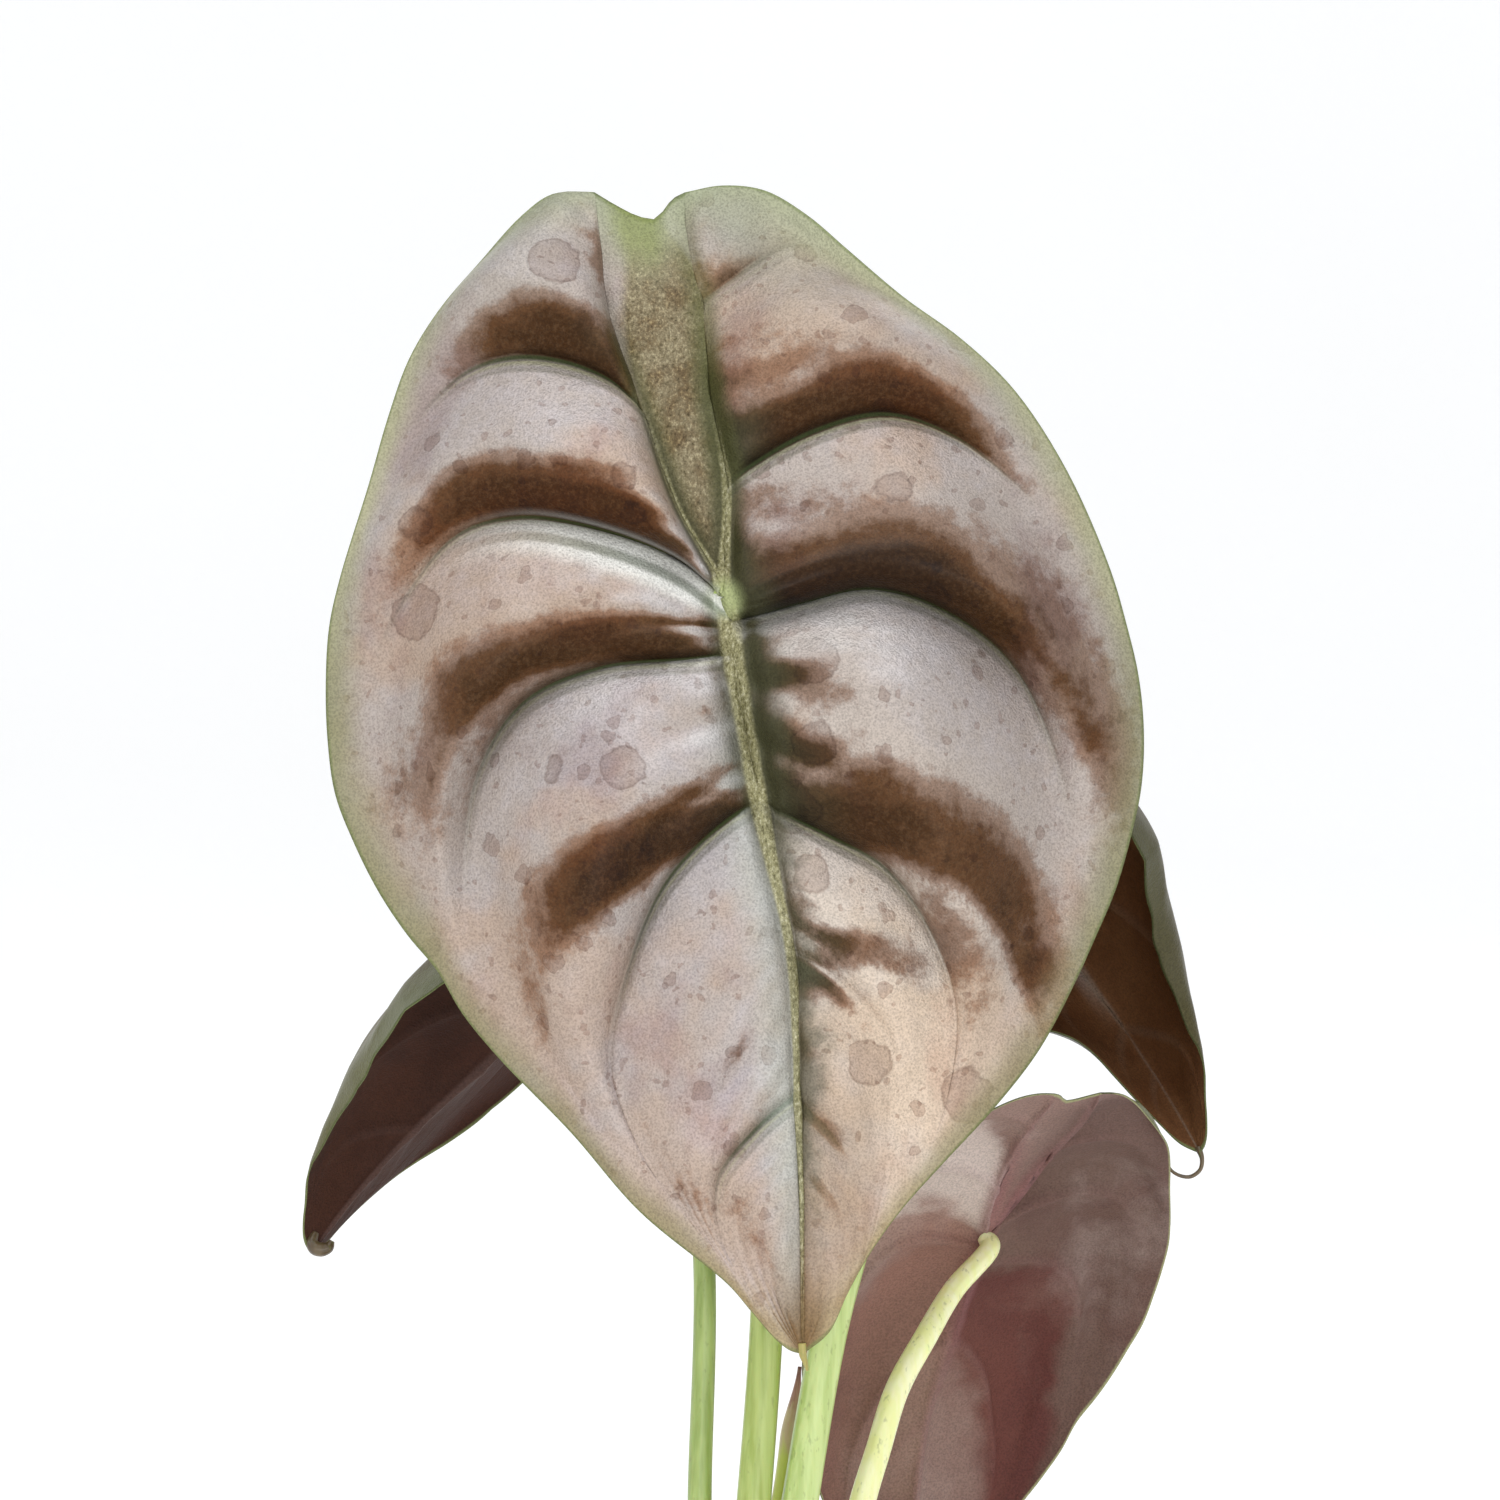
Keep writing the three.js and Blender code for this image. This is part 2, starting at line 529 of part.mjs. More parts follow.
// A dry sheath: a pointed scale round part of the crown, standing on the soil.
function sheathSolid(middleAngle, halfAngle, height, lean) {
  const [columns, rows] = [4, 6];
  const positions = [];
  const index = [];
  for (const offset of [0, 0.9]) {
    for (let i = 0; i <= rows; i += 1) {
      const rise = i / rows;
      const spread = halfAngle * (1 - rise ** 1.6 * 0.8);
      for (let j = 0; j <= columns; j += 1) {
        const angle = middleAngle + spread * ((2 * j) / columns - 1);
        const radius = CROWN_RADIUS + 0.42 + offset + lean * rise ** 2 + 0.5 * Math.sin(j * 1.3) * rise;
        const z = SOIL_TOP + GAP + height * rise * (1 - 0.06 * Math.cos(j * 2.1) * rise);
        positions.push(radius * Math.cos(angle), radius * Math.sin(angle), z);
      }
    }
  }
  const count = (rows + 1) * (columns + 1);
  const at = (layer, i, j) => layer * count + i * (columns + 1) + j;
  const quad = (a, b, c, d) => index.push(a, b, c, a, c, d);
  for (let i = 0; i < rows; i += 1) {
    for (let j = 0; j < columns; j += 1) {
      quad(at(1, i, j), at(1, i, j + 1), at(1, i + 1, j + 1), at(1, i + 1, j));
      quad(at(0, i, j), at(0, i + 1, j), at(0, i + 1, j + 1), at(0, i, j + 1));
    }
    quad(at(0, i, 0), at(1, i, 0), at(1, i + 1, 0), at(0, i + 1, 0));
    quad(at(0, i, columns), at(0, i + 1, columns), at(1, i + 1, columns), at(1, i, columns));
  }
  for (let j = 0; j < columns; j += 1) {
    quad(at(0, 0, j), at(0, 0, j + 1), at(1, 0, j + 1), at(1, 0, j));
    quad(at(0, rows, j), at(1, rows, j), at(1, rows, j + 1), at(0, rows, j + 1));
  }
  const geometry = new THREE.BufferGeometry();
  geometry.setAttribute('position', new THREE.Float32BufferAttribute(positions, 3));
  geometry.setIndex(index);
  return geometry;
}

// Assembly
const plant = new THREE.Group();

function add(name, geometry, color, roughness) {
  const mesh = new THREE.Mesh(geometry, new THREE.MeshStandardMaterial({ color, roughness, metalness: 0 }));
  mesh.name = name;
  plant.add(mesh);
}

const mainPattern = new BladePattern([0, 0.04, 0.09, 0.16, 0.25, 0.35, 0.46, 0.57, 0.68, 0.78, 0.87, 0.94, 1]);
const rearPattern = new BladePattern([0, 0.06, 0.15, 0.28, 0.43, 0.6, 0.77, 0.9, 1]);
const places = {
  main: facePose,
  left: hangPose(POSES.left),
  right: hangPose(POSES.right),
  lower: hangPose(POSES.lower),
};
const stalks = {};
for (const [name, place] of Object.entries(places)) {
  const mirrored = name !== 'main' && POSES[name].mirror;
  const thickness = name === 'main' ? MAIN_THICKNESS : REAR_THICKNESS;
  const pattern = name === 'main' ? mainPattern : rearPattern;
  const bladeColour = { main: COLOURS.mainBlade, lower: COLOURS.lowerBlade }[name] ?? COLOURS.rearBlade;
  add(`${name}_blade`, bladeSolid(pattern, place, thickness, mirrored), bladeColour, 0.4);
  stalks[name] = petiole(STALKS[name], jointOf(place, mirrored), thickness);
  add(`${name}_petiole`, stalks[name], COLOURS[`${name}Stalk`], 0.45);
}

// The rolled new leaf tapers to a point between the stalks.
const spearCurve = new THREE.CatmullRomCurve3([
  new THREE.Vector3(0, 0.5, 111), new THREE.Vector3(0.3, 0.9, 122), new THREE.Vector3(8, 8.5, 170),
  new THREE.Vector3(15.6, 11, 197.6), new THREE.Vector3(19, 13, 226),
]);
const spearRadius = (u) => 3.1 + 0.5 * smoothstep(0, 0.2, u) - 0.8 * smoothstep(0.2, 0.5, u) - 2.2 * smoothstep(0.86, 1, u);
stalks.spear = stalkSolid(spearCurve, 20, 10, spearRadius, 3);
add('new_leaf', stalks.spear, COLOURS.newLeaf, 0.45);

// The crown holds each stalk in a shallow socket.
let rootstock = rootstockManifold(0);
for (const [x, y, radius] of [
  [1.5, -8.5, 4.6], [-8.5, -0.5, 4.0], [8.5, -1, 4.8], [4.3, 8.4, 4.1], [0, 0.5, 3.1],
]) {
  const socket = new THREE.CylinderGeometry(radius + 0.7, radius + 0.7, 12, 12).rotateX(Math.PI / 2);
  rootstock = rootstock.subtract(toManifold(socket.translate(x, y, 116.3)));
}
add('rootstock', fromManifold(rootstock), COLOURS.rootstock, 0.8);
add('sheath_front', sheathSolid(-2.3, 0.6, 34, -0.6), COLOURS.sheath, 0.75);
add('sheath_back', sheathSolid(2.45, 0.6, 40, -0.3), COLOURS.sheath, 0.75);
add('soil', soilSolid(), COLOURS.soil, 0.95);
add('pot', potSolid(), COLOURS.pot, 0.8);

export default plant;
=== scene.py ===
"""Dresses a potted red secret alocasia: coppery leaves, green stalks, potting mix and a clay pot.

Sizes in the classes are millimetres in the frame of the solids. Meshes are made in metres.
"""
import logging
import math
from dataclasses import dataclass, field
from enum import Enum

import bpy
import numpy as np
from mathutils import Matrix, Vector


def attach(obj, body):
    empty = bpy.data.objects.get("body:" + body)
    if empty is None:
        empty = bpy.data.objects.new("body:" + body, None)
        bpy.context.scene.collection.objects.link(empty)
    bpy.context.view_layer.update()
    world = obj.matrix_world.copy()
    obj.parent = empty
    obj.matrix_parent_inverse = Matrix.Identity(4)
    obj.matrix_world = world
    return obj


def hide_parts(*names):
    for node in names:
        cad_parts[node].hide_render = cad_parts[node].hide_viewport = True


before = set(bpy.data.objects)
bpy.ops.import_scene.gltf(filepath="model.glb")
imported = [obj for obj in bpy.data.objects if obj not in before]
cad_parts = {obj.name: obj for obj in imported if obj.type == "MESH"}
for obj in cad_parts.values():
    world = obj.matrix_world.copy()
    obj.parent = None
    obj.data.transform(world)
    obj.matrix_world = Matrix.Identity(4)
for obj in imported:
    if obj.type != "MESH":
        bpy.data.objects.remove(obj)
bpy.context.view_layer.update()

log = logging.getLogger("alocasia")
MM = 0.001
Array, Colour = np.ndarray, tuple[float, float, float, float]
Piece, Material = bpy.types.Object, bpy.types.Material
Socket, Node, Tree = bpy.types.NodeSocket, bpy.types.Node, bpy.types.NodeTree
# Stations run down a half blade: 0 at the notch, 12 at the joint with the stalk, 35 at the tip
JOINT_STATION = 12
TIP_STATION = 35
# What the distance to a vein counts as where no vein is near
NO_VEIN = 60.0
# Half the width of the flat blade, and its length below the joint
HALF_SPAN = 82
TIP_DROP = 150
# The crumbs of the mix are turned by up to this much
FULL_TURN = 6.28


# The leaf pattern, laid flat: [station, x, z] from the joint
MIDRIB = [
    [12, 0, 0], [16, 0.8, -4.8], [19, 1.8, -11.4], [25, 7, -41],
    [28, 12.8, -70.4], [31, 14.4, -99.4], [33, 15.2, -118.4], [35, 15.6, -151.8],
]
LEFT_RIB = [[0, -26.6, 81.6], [2, -25.4, 70.6], [4.5, -23.8, 57.6], [7, -16.8, 38], [9.5, -9.6, 17.6]]
RIGHT_RIB = [[0, -8.2, 81.6], [2, -7.4, 70.6], [4, -4.6, 59], [6.5, -2.6, 40.6], [9, 0.4, 22.8]]
LEFT_MARGIN = [
    [0, -26.6, 81.6], [1, -35.2, 81.2], [2, -41.4, 76.8], [3, -49.6, 67.6], [4, -58, 57.6],
    [5, -64, 47.6], [6, -68.2, 35.6], [7, -71.8, 22.6], [9, -77.8, 2.6], [10, -79.8, -6.8],
    [11, -80.4, -18], [12, -80, -29.4], [13, -78.4, -40.4], [14, -74.6, -50], [15, -69.4, -60],
    [16, -63.6, -68.4], [17, -57.6, -75.4], [18, -52.4, -84], [19, -45, -92.8], [21, -30.6, -107.4],
    [23, -17, -123], [25, 0.6, -137.6], [28, 5.4, -143.2], [31, 10.2, -148.8], [33, 13, -151],
    [35, 15.6, -151.8],
]
RIGHT_MARGIN = [
    [0, -8.2, 81.6], [1, -0.6, 83], [2, 8, 82], [3, 16.6, 77], [4, 25, 69.8], [5, 36, 60.4],
    [6, 48, 51.6], [7, 58.6, 41.2], [8, 69, 25], [9, 77.6, 5.2], [10, 81, -6.4], [11, 83.4, -17],
    [12, 84.4, -28.4], [13, 83.8, -39.4], [14, 81.6, -49.4], [15, 78.4, -60], [16, 74, -70],
    [17, 70.6, -77.4], [19, 63, -91.4], [21, 54, -102.8], [23, 44, -113.4], [25, 35.4, -122.8],
    [28, 29, -131.6], [31, 24.6, -139.4], [33, 20.8, -147.4], [35, 15.6, -151.8],
]
LEFT_VEINS = {
    7: [[-23, 43.6], [-33, 47.4], [-43, 48], [-52, 45], [-63, 34.6]],
    12: [[-8.2, 7.2], [-21.8, 13], [-40.2, 16.2], [-53.4, 12.4], [-64.2, -0.4], [-71, -13.4]],
    19: [[-7.6, -12.2], [-24.8, -14], [-40.2, -21], [-49.4, -35.4], [-52.2, -54.4], [-50.6, -72.4]],
    25: [[1, -44], [-11.6, -56.6], [-19.6, -75], [-23, -94], [-15.8, -113], [-6, -126]],
    31: [[6.2, -106.4], [-1.4, -116.4], [-0.6, -128.4]],
}
RIGHT_VEINS = {
    4: [[0.8, 63], [6.4, 67], [13, 70.6]],
    9: [[6.4, 27.4], [18, 33.6], [32.4, 36.8], [46.6, 32], [63, 18.6]],
    16: [[15, -1], [29.6, 2], [45, -3], [58, -14], [65.6, -29.8], [70.6, -50.4]],
    25: [[20.8, -47.6], [32.4, -54.4], [42, -68.4], [46.4, -84.8], [44, -102.4]],
    28: [[22, -76.4], [32, -87.4], [35, -102.4], [33, -118.4]],
    31: [[22, -107], [28.6, -118.4], [28.2, -129.4]],
    33: [[19.4, -124.6], [22.6, -132.8]],
}
NOTCH = [[-26.6, 81.6], [-22.6, 79.2], [-17.8, 76.8], [-14.2, 76.2], [-12.6, 77.8], [-10.8, 80.2], [-8.2, 81.6]]
# The swell between two veins, from the notch down: [height, share of the way to the margin where it ends]
LEFT_SWELL = [[0.85, 0.9], [1, 0.95], [1.05, 0.95], [0.9, 0.8], [0.34, 0.8], [0.12, 0.5]]
RIGHT_SWELL = [[0.6, 0.85], [0.9, 0.95], [1, 0.95], [1, 0.85], [0.5, 0.6], [0.3, 0.5], [0.2, 0.5], [0.15, 0.5]]
# Half widths of the flat blade: [distance below the joint, left half, right half]
HALF_WIDTH = [
    [-82, 25, 33], [-65, 39, 43], [-50, 53, 60], [-30, 64, 72], [0, 78, 79], [30, 85, 79],
    [50, 83, 73], [70, 75, 61], [90, 61, 50], [110, 43, 32], [125, 30, 19], [140, 13, 9], [151, 2, 1],
]
# Height of the swell, as a share of the distance between two veins
RELIEF = 0.27
# A side is 0 for the left half and 1 for the right one.
# Painted shade, in brown, on the lower flanks of the swells, which face down and away from the light, partly
# the leaf's own brown: [side, first station of the strip, w at the midrib, w at the margin, half width at the
# midrib, half width at the margin, starts at u, ends at u, strength]. u runs from the midrib to the margin and
# w from the upper vein to the lower one, both from 0 to 1.
SHADED_FLANKS = [
    [0, 0, 0.86, 0.9, 0.13, 0.07, -0.1, 0.66, 1], [0, 0, 0.35, 0.3, 0.2, 0.1, -0.1, 0.36, 0.4],
    [0, 7, 0.78, 0.76, 0.19, 0.13, 0.05, 0.8, 1],
    [0, 12, 0.88, 0.4, 0.17, 0.16, 0, 0.84, 1], [0, 12, 0.92, 0.3, 0.1, 0.12, 0.2, 1, 0.4],
    [0, 19, 0.97, 0.16, 0.13, 0.12, -0.04, 0.68, 1.25], [0, 19, 0.96, 0.2, 0.14, 0.14, 0.3, 1.05, 0.3],
    [0, 25, 3, -1, 0.6, 0.6, 0.42, 0.85, 0.3], [0, 25, 0.42, 0.5, 0.12, 0.12, 0.06, 0.36, 0.4],
    [0, 31, 1.1, -1, 0.4, 0.4, 0.26, 0.7, 0.3], [0, 31, 1, 0.9, 0.14, 0.16, 0.2, 1, 0.5],
    [1, 0, 0.8, 0.8, 0.2, 0.15, -0.1, 0.5, 0.35], [1, 0, 0.3, 0.5, 0.14, 0.14, 0, 0.8, 0.12],
    [1, 4, 0.9, 0.88, 0.17, 0.11, -0.1, 0.8, 1], [1, 4, 0.55, 0.6, 0.3, 0.2, -0.1, 0.5, 0.5],
    [1, 9, 0.68, 0.61, 0.31, 0.3, -0.14, 0.66, 1.5], [1, 9, 0.52, 0.5, 0.36, 0.3, -0.14, 0.24, 1.4],
    [1, 9, 0.6, 0.52, 0.26, 0.28, 0.2, 1.1, 0.75],
    [1, 16, 1.03, 0.22, 0.15, 0.12, -0.06, 1.15, 1], [1, 16, 0.55, 0.5, 0.4, 0.2, -0.14, 0.28, 1.2],
    [1, 16, 1.2, 0.6, 0.16, 0.12, 0.35, 1, 0.35],
    [1, 25, 0.7, 0.75, 0.3, 0.28, -0.14, 0.16, 1], [1, 25, 1.02, -0.6, 0.13, 0.2, 0, 0.62, 0.65],
    [1, 28, 0.08, 0, 0.3, 0.3, -0.14, 0.32, 1], [1, 28, 0.6, 0.5, 0.3, 0.3, -0.14, 0.22, 0.7],
    [1, 28, 0.5, -0.6, 0.16, 0.2, 0.1, 0.6, 0.3],
    [1, 31, 0.06, 0, 0.2, 0.15, -0.1, 0.45, 0.9], [1, 31, 0.88, 0.4, 0.14, 0.2, 0.05, 0.66, 0.5],
    [1, 33, 0.96, 0.9, 0.15, 0.12, -0.1, 1.1, 0.6], [1, 31, 0.6, 0.7, 0.6, 0.6, 0, 1.2, 0.2],
    [1, 25, 0.6, 0.1, 0.25, 0.2, 0.55, 1, 0.25],
]
# Short puckers beside the midrib: [side, station, reach in u, depth, width in stations]
PUCKERS = [
    [1, 20.4, 0.28, 2.2, 0.9], [1, 22.6, 0.22, 1.3, 0.5], [1, 27.4, 0.26, 1.3, 0.5], [1, 28.6, 0.4, 1.6, 0.5],
    [1, 30, 0.26, 0.8, 0.35], [1, 31.3, 0.4, 1, 0.3], [1, 14.2, 0.2, 0.7, 0.4], [0, 21.6, 0.3, 1.1, 0.5],
    [0, 23.6, 0.26, 1.2, 0.4], [0, 26.6, 0.5, 0.6, 0.5], [0, 29.4, 0.45, 0.9, 0.4], [0, 16.8, 0.2, 0.7, 0.4],
]


def ease(start: float, end: float, value: Array) -> Array:
    """Gives 0 below start, 1 above end and a soft slope between them."""
    t = np.clip((value - start) / (end - start), 0, 1)
    return t * t * (3 - 2 * t)


def hexed(code: str) -> Colour:
    """Turns a six-digit colour code into linear values."""
    parts = [int(code[i:i + 2], 16) / 255 for i in (0, 2, 4)]
    return (*[p / 12.92 if p <= 0.04045 else ((p + 0.055) / 1.055) ** 2.4 for p in parts], 1.0)


def soft_noise(x: Array, z: Array, grain: float, seed: int) -> Array:
    """Smooth random relief over a plane.

    Args:
        x: First coordinates, in millimetres.
        z: Second coordinates, of the same shape.
        grain: Distance between two bumps, in millimetres.
        seed: Which of the many reliefs.

    Returns:
        Values from -1 to 1.
    """
    lattice = np.random.default_rng(seed).uniform(-1, 1, (64, 64))
    cx, cz = x / grain + 500, z / grain + 500
    ix, iz = np.floor(cx).astype(int), np.floor(cz).astype(int)
    fx, fz = cx - ix, cz - iz
    fx, fz = fx * fx * (3 - 2 * fx), fz * fz * (3 - 2 * fz)
    at = lambda a, b: lattice[(ix + a) % 64, (iz + b) % 64]
    low = at(0, 0) * (1 - fx) + at(1, 0) * fx
    high = at(0, 1) * (1 - fx) + at(1, 1) * fx
    return low * (1 - fz) + high * fz


class SmoothCurve:
    """A centripetal curve through points, in the plane or in space."""

    def __init__(self, points: list) -> None:
        """Keeps the points and a table of the length along the curve.

        Args:
            points: Points that it goes through.
        """
        self.points = np.asarray(points, float)
        steps = np.linspace(0, 1, 201)
        walk = np.linalg.norm(np.diff(self.at(steps), axis=0), axis=1)
        self.lengths = np.concatenate([[0], np.cumsum(walk)])
        self.steps = steps

    def at(self, share: Array) -> Array:
        """Points at a share of the way, counted by the given points.

        Args:
            share: Shares from 0 to 1.

        Returns:
            The points.
        """
        p = self.points
        ends = np.vstack([2 * p[0] - p[1], p, 2 * p[-1] - p[-2]])
        place = np.asarray(share, float) * (len(p) - 1)
        i = np.clip(np.floor(place).astype(int), 0, len(p) - 2)
        w = (place - i)[..., None]
        p0, p1, p2, p3 = ends[i], ends[i + 1], ends[i + 2], ends[i + 3]
        gap = lambda a, b: np.sqrt(np.linalg.norm(a - b, axis=-1, keepdims=True))
        d0, d1, d2 = gap(p0, p1), gap(p1, p2), gap(p2, p3)
        d1 = np.where(d1 < 1e-4, 1.0, d1)
        d0, d2 = np.where(d0 < 1e-4, d1, d0), np.where(d2 < 1e-4, d1, d2)
        t1 = ((p1 - p0) / d0 - (p2 - p0) / (d0 + d1) + (p2 - p1) / d1) * d1
        t2 = ((p2 - p1) / d1 - (p3 - p1) / (d1 + d2) + (p3 - p2) / d2) * d1
        return p1 + t1 * w + (3 * (p2 - p1) - 2 * t1 - t2) * w ** 2 + (2 * (p1 - p2) + t1 + t2) * w ** 3

    def along(self, share: Array) -> Array:
        """Points at a share of the curve's length."""
        wanted = np.asarray(share, float) * self.lengths[-1]
        return self.at(np.interp(wanted, self.lengths, self.steps))


class StationCurve:
    """A curve that is read by station."""

    def __init__(self, controls: list) -> None:
        """Keeps the stations and the curve through their points."""
        self.stations = np.array([row[0] for row in controls], float)
        self.curve = SmoothCurve([row[1:] for row in controls])

    def at(self, station: Array) -> Array:
        """Points at the given stations."""
        order = np.interp(station, self.stations, np.arange(len(self.stations)))
        return self.curve.at(order / (len(self.stations) - 1))


class Side(Enum):
    """The two halves of a blade."""

    LEFT = 0
    RIGHT = 1


@dataclass
class LeafPattern:
    """The flat blade as a fine net between its veins, with what each point needs to know.

    Attributes:
        fineness: Rows to a station.
        columns: Points from the midrib to the margin.
    """

    fineness: int
    columns: int
    fields: dict = field(default_factory=dict)
    faces: list = field(default_factory=list)

    def __post_init__(self) -> None:
        """Lays out both halves and the web, welds them and finds the slopes."""
        left, right, web = self.half(Side.LEFT), self.half(Side.RIGHT), self.web()
        stacked = {k: np.concatenate([part[k].ravel() for part in (left, right, web)]) for k in left}
        key = np.round(np.stack([stacked["x"], stacked["z"]], 1) * 200).astype(int)
        _, first, inverse = np.unique(key, axis=0, return_index=True, return_inverse=True)
        inverse = inverse.ravel()
        self.fields = {k: v[first] for k, v in stacked.items()}
        start = 0
        for part, flipped in ((left, False), (right, True), (web, True)):
            rows, columns = part["x"].shape
            index = inverse[start:start + rows * columns].reshape(rows, columns)
            start += rows * columns
            a, b, c, d = index[:-1, :-1], index[:-1, 1:], index[1:, 1:], index[1:, :-1]
            quads = np.stack([a, d, c, b] if flipped else [a, b, c, d], -1).reshape(-1, 4)
            for quad in quads.tolist():
                corners = list(dict.fromkeys(quad))
                if len(corners) > 2:
                    self.faces.append(corners)
        self.add_slopes()

    def half(self, side: Side) -> dict:
        """Lays out one half of the blade.

        Args:
            side: Which half.

        Returns:
            Arrays of rows by columns for each field.
        """
        rib, margin, veins, swell = {
            Side.LEFT: (LEFT_RIB, LEFT_MARGIN, LEFT_VEINS, LEFT_SWELL),
            Side.RIGHT: (RIGHT_RIB, RIGHT_MARGIN, RIGHT_VEINS, RIGHT_SWELL),
        }[side]
        spine, edge = StationCurve(rib + MIDRIB), StationCurve(margin)
        share = np.linspace(0, 1, self.columns)
        u = share - 0.5 * np.sin(2 * np.pi * share) / (2 * np.pi)
        knots = [0, *veins, TIP_STATION]

        def vein(station: int) -> Array:
            """Points of the vein that leaves the midrib at a station.

            Args:
                station: Where it leaves.

            Returns:
                One point for each u.
            """
            ends = spine.at(np.array(station)), edge.at(np.array(station))
            if station not in veins:
                return ends[0] * (1 - u[:, None]) + ends[1] * u[:, None]
            return SmoothCurve([ends[0], *veins[station], ends[1]]).along(u)

        rows: dict = {}
        for band, (first, last) in enumerate(zip(knots, knots[1:])):
            top, bottom = vein(first), vein(last)
            count = (last - first) * self.fineness
            w = np.arange(0 if band == 0 else 1, count + 1) / count
            station = first + w * (last - first)
            inner, outer = spine.at(station)[:, None], edge.at(station)[:, None]
            W, U = w[:, None, None], u[None, :, None]
            place = (1 - W) * top + W * bottom + (1 - U) * inner + U * outer
            place -= (1 - U) * ((1 - W) * top[0] + W * bottom[0]) + U * ((1 - W) * top[-1] + W * bottom[-1])
            away = np.linalg.norm(place - inner, axis=-1)
            width = np.linalg.norm(top - bottom, axis=-1)[None]
            height, reach = swell[band]
            arch = np.abs(np.sin(np.pi * w ** 1.35))[:, None] ** (0.75 + 0.6 * ease(0.35, 0.8, u))[None]
            gentle = 4 + 12 * np.clip(1 - station / 6, 0, 1)[:, None]
            rise, fall = 1 - np.exp(-away / gentle), 1 - ease(0.35 * reach, 1.05 * reach, u)[None]
            above = np.linalg.norm(place - top, axis=-1) if first in veins else np.full(away.shape, NO_VEIN)
            below = np.linalg.norm(place - bottom, axis=-1) if last in veins else np.full(away.shape, NO_VEIN)
            full = np.ones_like(away)
            values = {
                "x": place[..., 0], "z": place[..., 1], "u": u, "w": w[:, None], "station": station[:, None],
                "swell": RELIEF * height * width * arch * rise * fall, "rib": away,
                "vein": np.minimum(above, below), "edge": np.linalg.norm(place - outer, axis=-1),
                "side": side.value, "web": 0, "width": width,
                "brown": self.brown(side, first, full * u, full * w[:, None]),
            }
            for key, value in values.items():
                rows.setdefault(key, []).append(full * value)
        return {k: np.concatenate(v) for k, v in rows.items()}

    @staticmethod
    def brown(side: Side, first: int, u: Array, w: Array) -> Array:
        """How much painted brown shade the points of a strip carry.

        Args:
            side: The half that the strip lies in.
            first: Station where the strip begins.
            u: Share of the way from the midrib to the margin.
            w: Share of the way from the upper vein to the lower one.

        Returns:
            A share for each point.
        """
        total = np.zeros_like(u)
        for half, station, near, far, thick, thin, start, end, strength in SHADED_FLANKS:
            if (half, station) == (side.value, first):
                away = (w - near - (far - near) * u) / (thick + (thin - thick) * u)
                across = (1 - ease(0.5, 1.3, away)) * ease(-2.0, -0.1, away)
                along = ease(start - 0.02, start + 0.14, u) * (1 - ease(end - 0.35, end + 0.05, u))
                total = np.maximum(total, strength * across * along)
        return total

    def web(self) -> dict:
        """Lays out the strip between the two basal ribs, from the notch down to the joint.

        Returns:
            The same fields as a half has.
        """
        station = np.arange(JOINT_STATION * self.fineness + 1) / self.fineness
        near = np.array([0, 0.006, 0.02, 0.05, 0.1, 0.18, 0.28, 0.39])
        share = np.concatenate([near, [0.5], 1 - near[::-1]])
        left = StationCurve(LEFT_RIB + MIDRIB).at(station)[:, None]
        right = StationCurve(RIGHT_RIB + MIDRIB).at(station)[:, None]
        S = share[None, :, None]
        lift = (np.clip(1 - station / 3, 0, 1) ** 2)[:, None, None]
        notch = SmoothCurve(NOTCH).along(share)[None]
        straight = left[:1] * (1 - S) + right[:1] * S
        place = left * (1 - S) + right * S + lift * (notch - straight)
        full = np.ones(place.shape[:2])
        rib = np.minimum(np.linalg.norm(place - left, axis=-1), np.linalg.norm(place - right, axis=-1))
        edge = np.linalg.norm(place - notch, axis=-1)
        return {
            "x": place[..., 0], "z": place[..., 1], "u": full * 0, "w": full * 0.5, "station": full * station[:, None],
            "swell": full * 0, "rib": rib, "vein": full * NO_VEIN, "edge": edge, "side": full * share[None],
            "web": full,
            "width": full * 20, "brown": full * 0,
        }

    def relief(self) -> Array:
        """Height of the finer forms on the swell: grooves, wrinkles and puckers.

        Returns:
            Heights, in millimetres.
        """
        f = self.fields
        f["thick"] = np.interp(f["station"], [0, 10, 13, 24, 27, 31, 35], [0.9, 1.5, 3.1, 2.9, 1.7, 1.1, 0.6])
        f["spine"] = f["rib"] / f["thick"]
        f["hub"] = np.hypot(f["x"], f["z"])
        inside = ease(0, 8, f["edge"])
        fading = (1 - 0.9 * ease(0.25, 0.8, f["u"])) * (1 - 0.85 * ease(25.5, 27.5, f["station"]) * f["side"])
        groove = -0.45 * np.exp(-(f["vein"] / 1.1) ** 2) * fading
        wave = np.sin(2 * np.pi * f["w"] * np.maximum(f["width"] / 7.5, 1.5) + 4 * soft_noise(f["x"], f["z"], 16, 3))
        wrinkle = 0.3 * wave * np.exp(-f["rib"] / 20) * ease(1, 5, f["rib"]) * ease(0.5, 3, f["vein"])
        rolling = 0.75 * soft_noise(f["x"], f["z"], 19, 5) + 0.3 * soft_noise(f["x"], f["z"], 8, 6)
        total = groove + wrinkle * (1 - f["web"]) + rolling * ease(0, 7, f["rib"]) * (1 - f["web"])
        total += f["web"] * (0.35 * ease(0, 5, f["rib"]) + 0.25 * soft_noise(f["x"], f["z"], 4, 8))
        sharp = 0.12 + 0.88 * ease(6, 12, f["station"])
        total -= 0.5 * sharp * f["thick"] * np.exp(-((f["spine"] - 1.1) / 0.6) ** 2) * (1 - f["web"])
        for side, station, reach, depth, width in PUCKERS:
            near = np.exp(-((f["station"] - station) / width) ** 2) * (f["side"] == side)
            total -= depth * near * ease(0, 0.05, f["u"]) * (1 - ease(0.3 * reach, reach, f["u"]))
        return total * inside

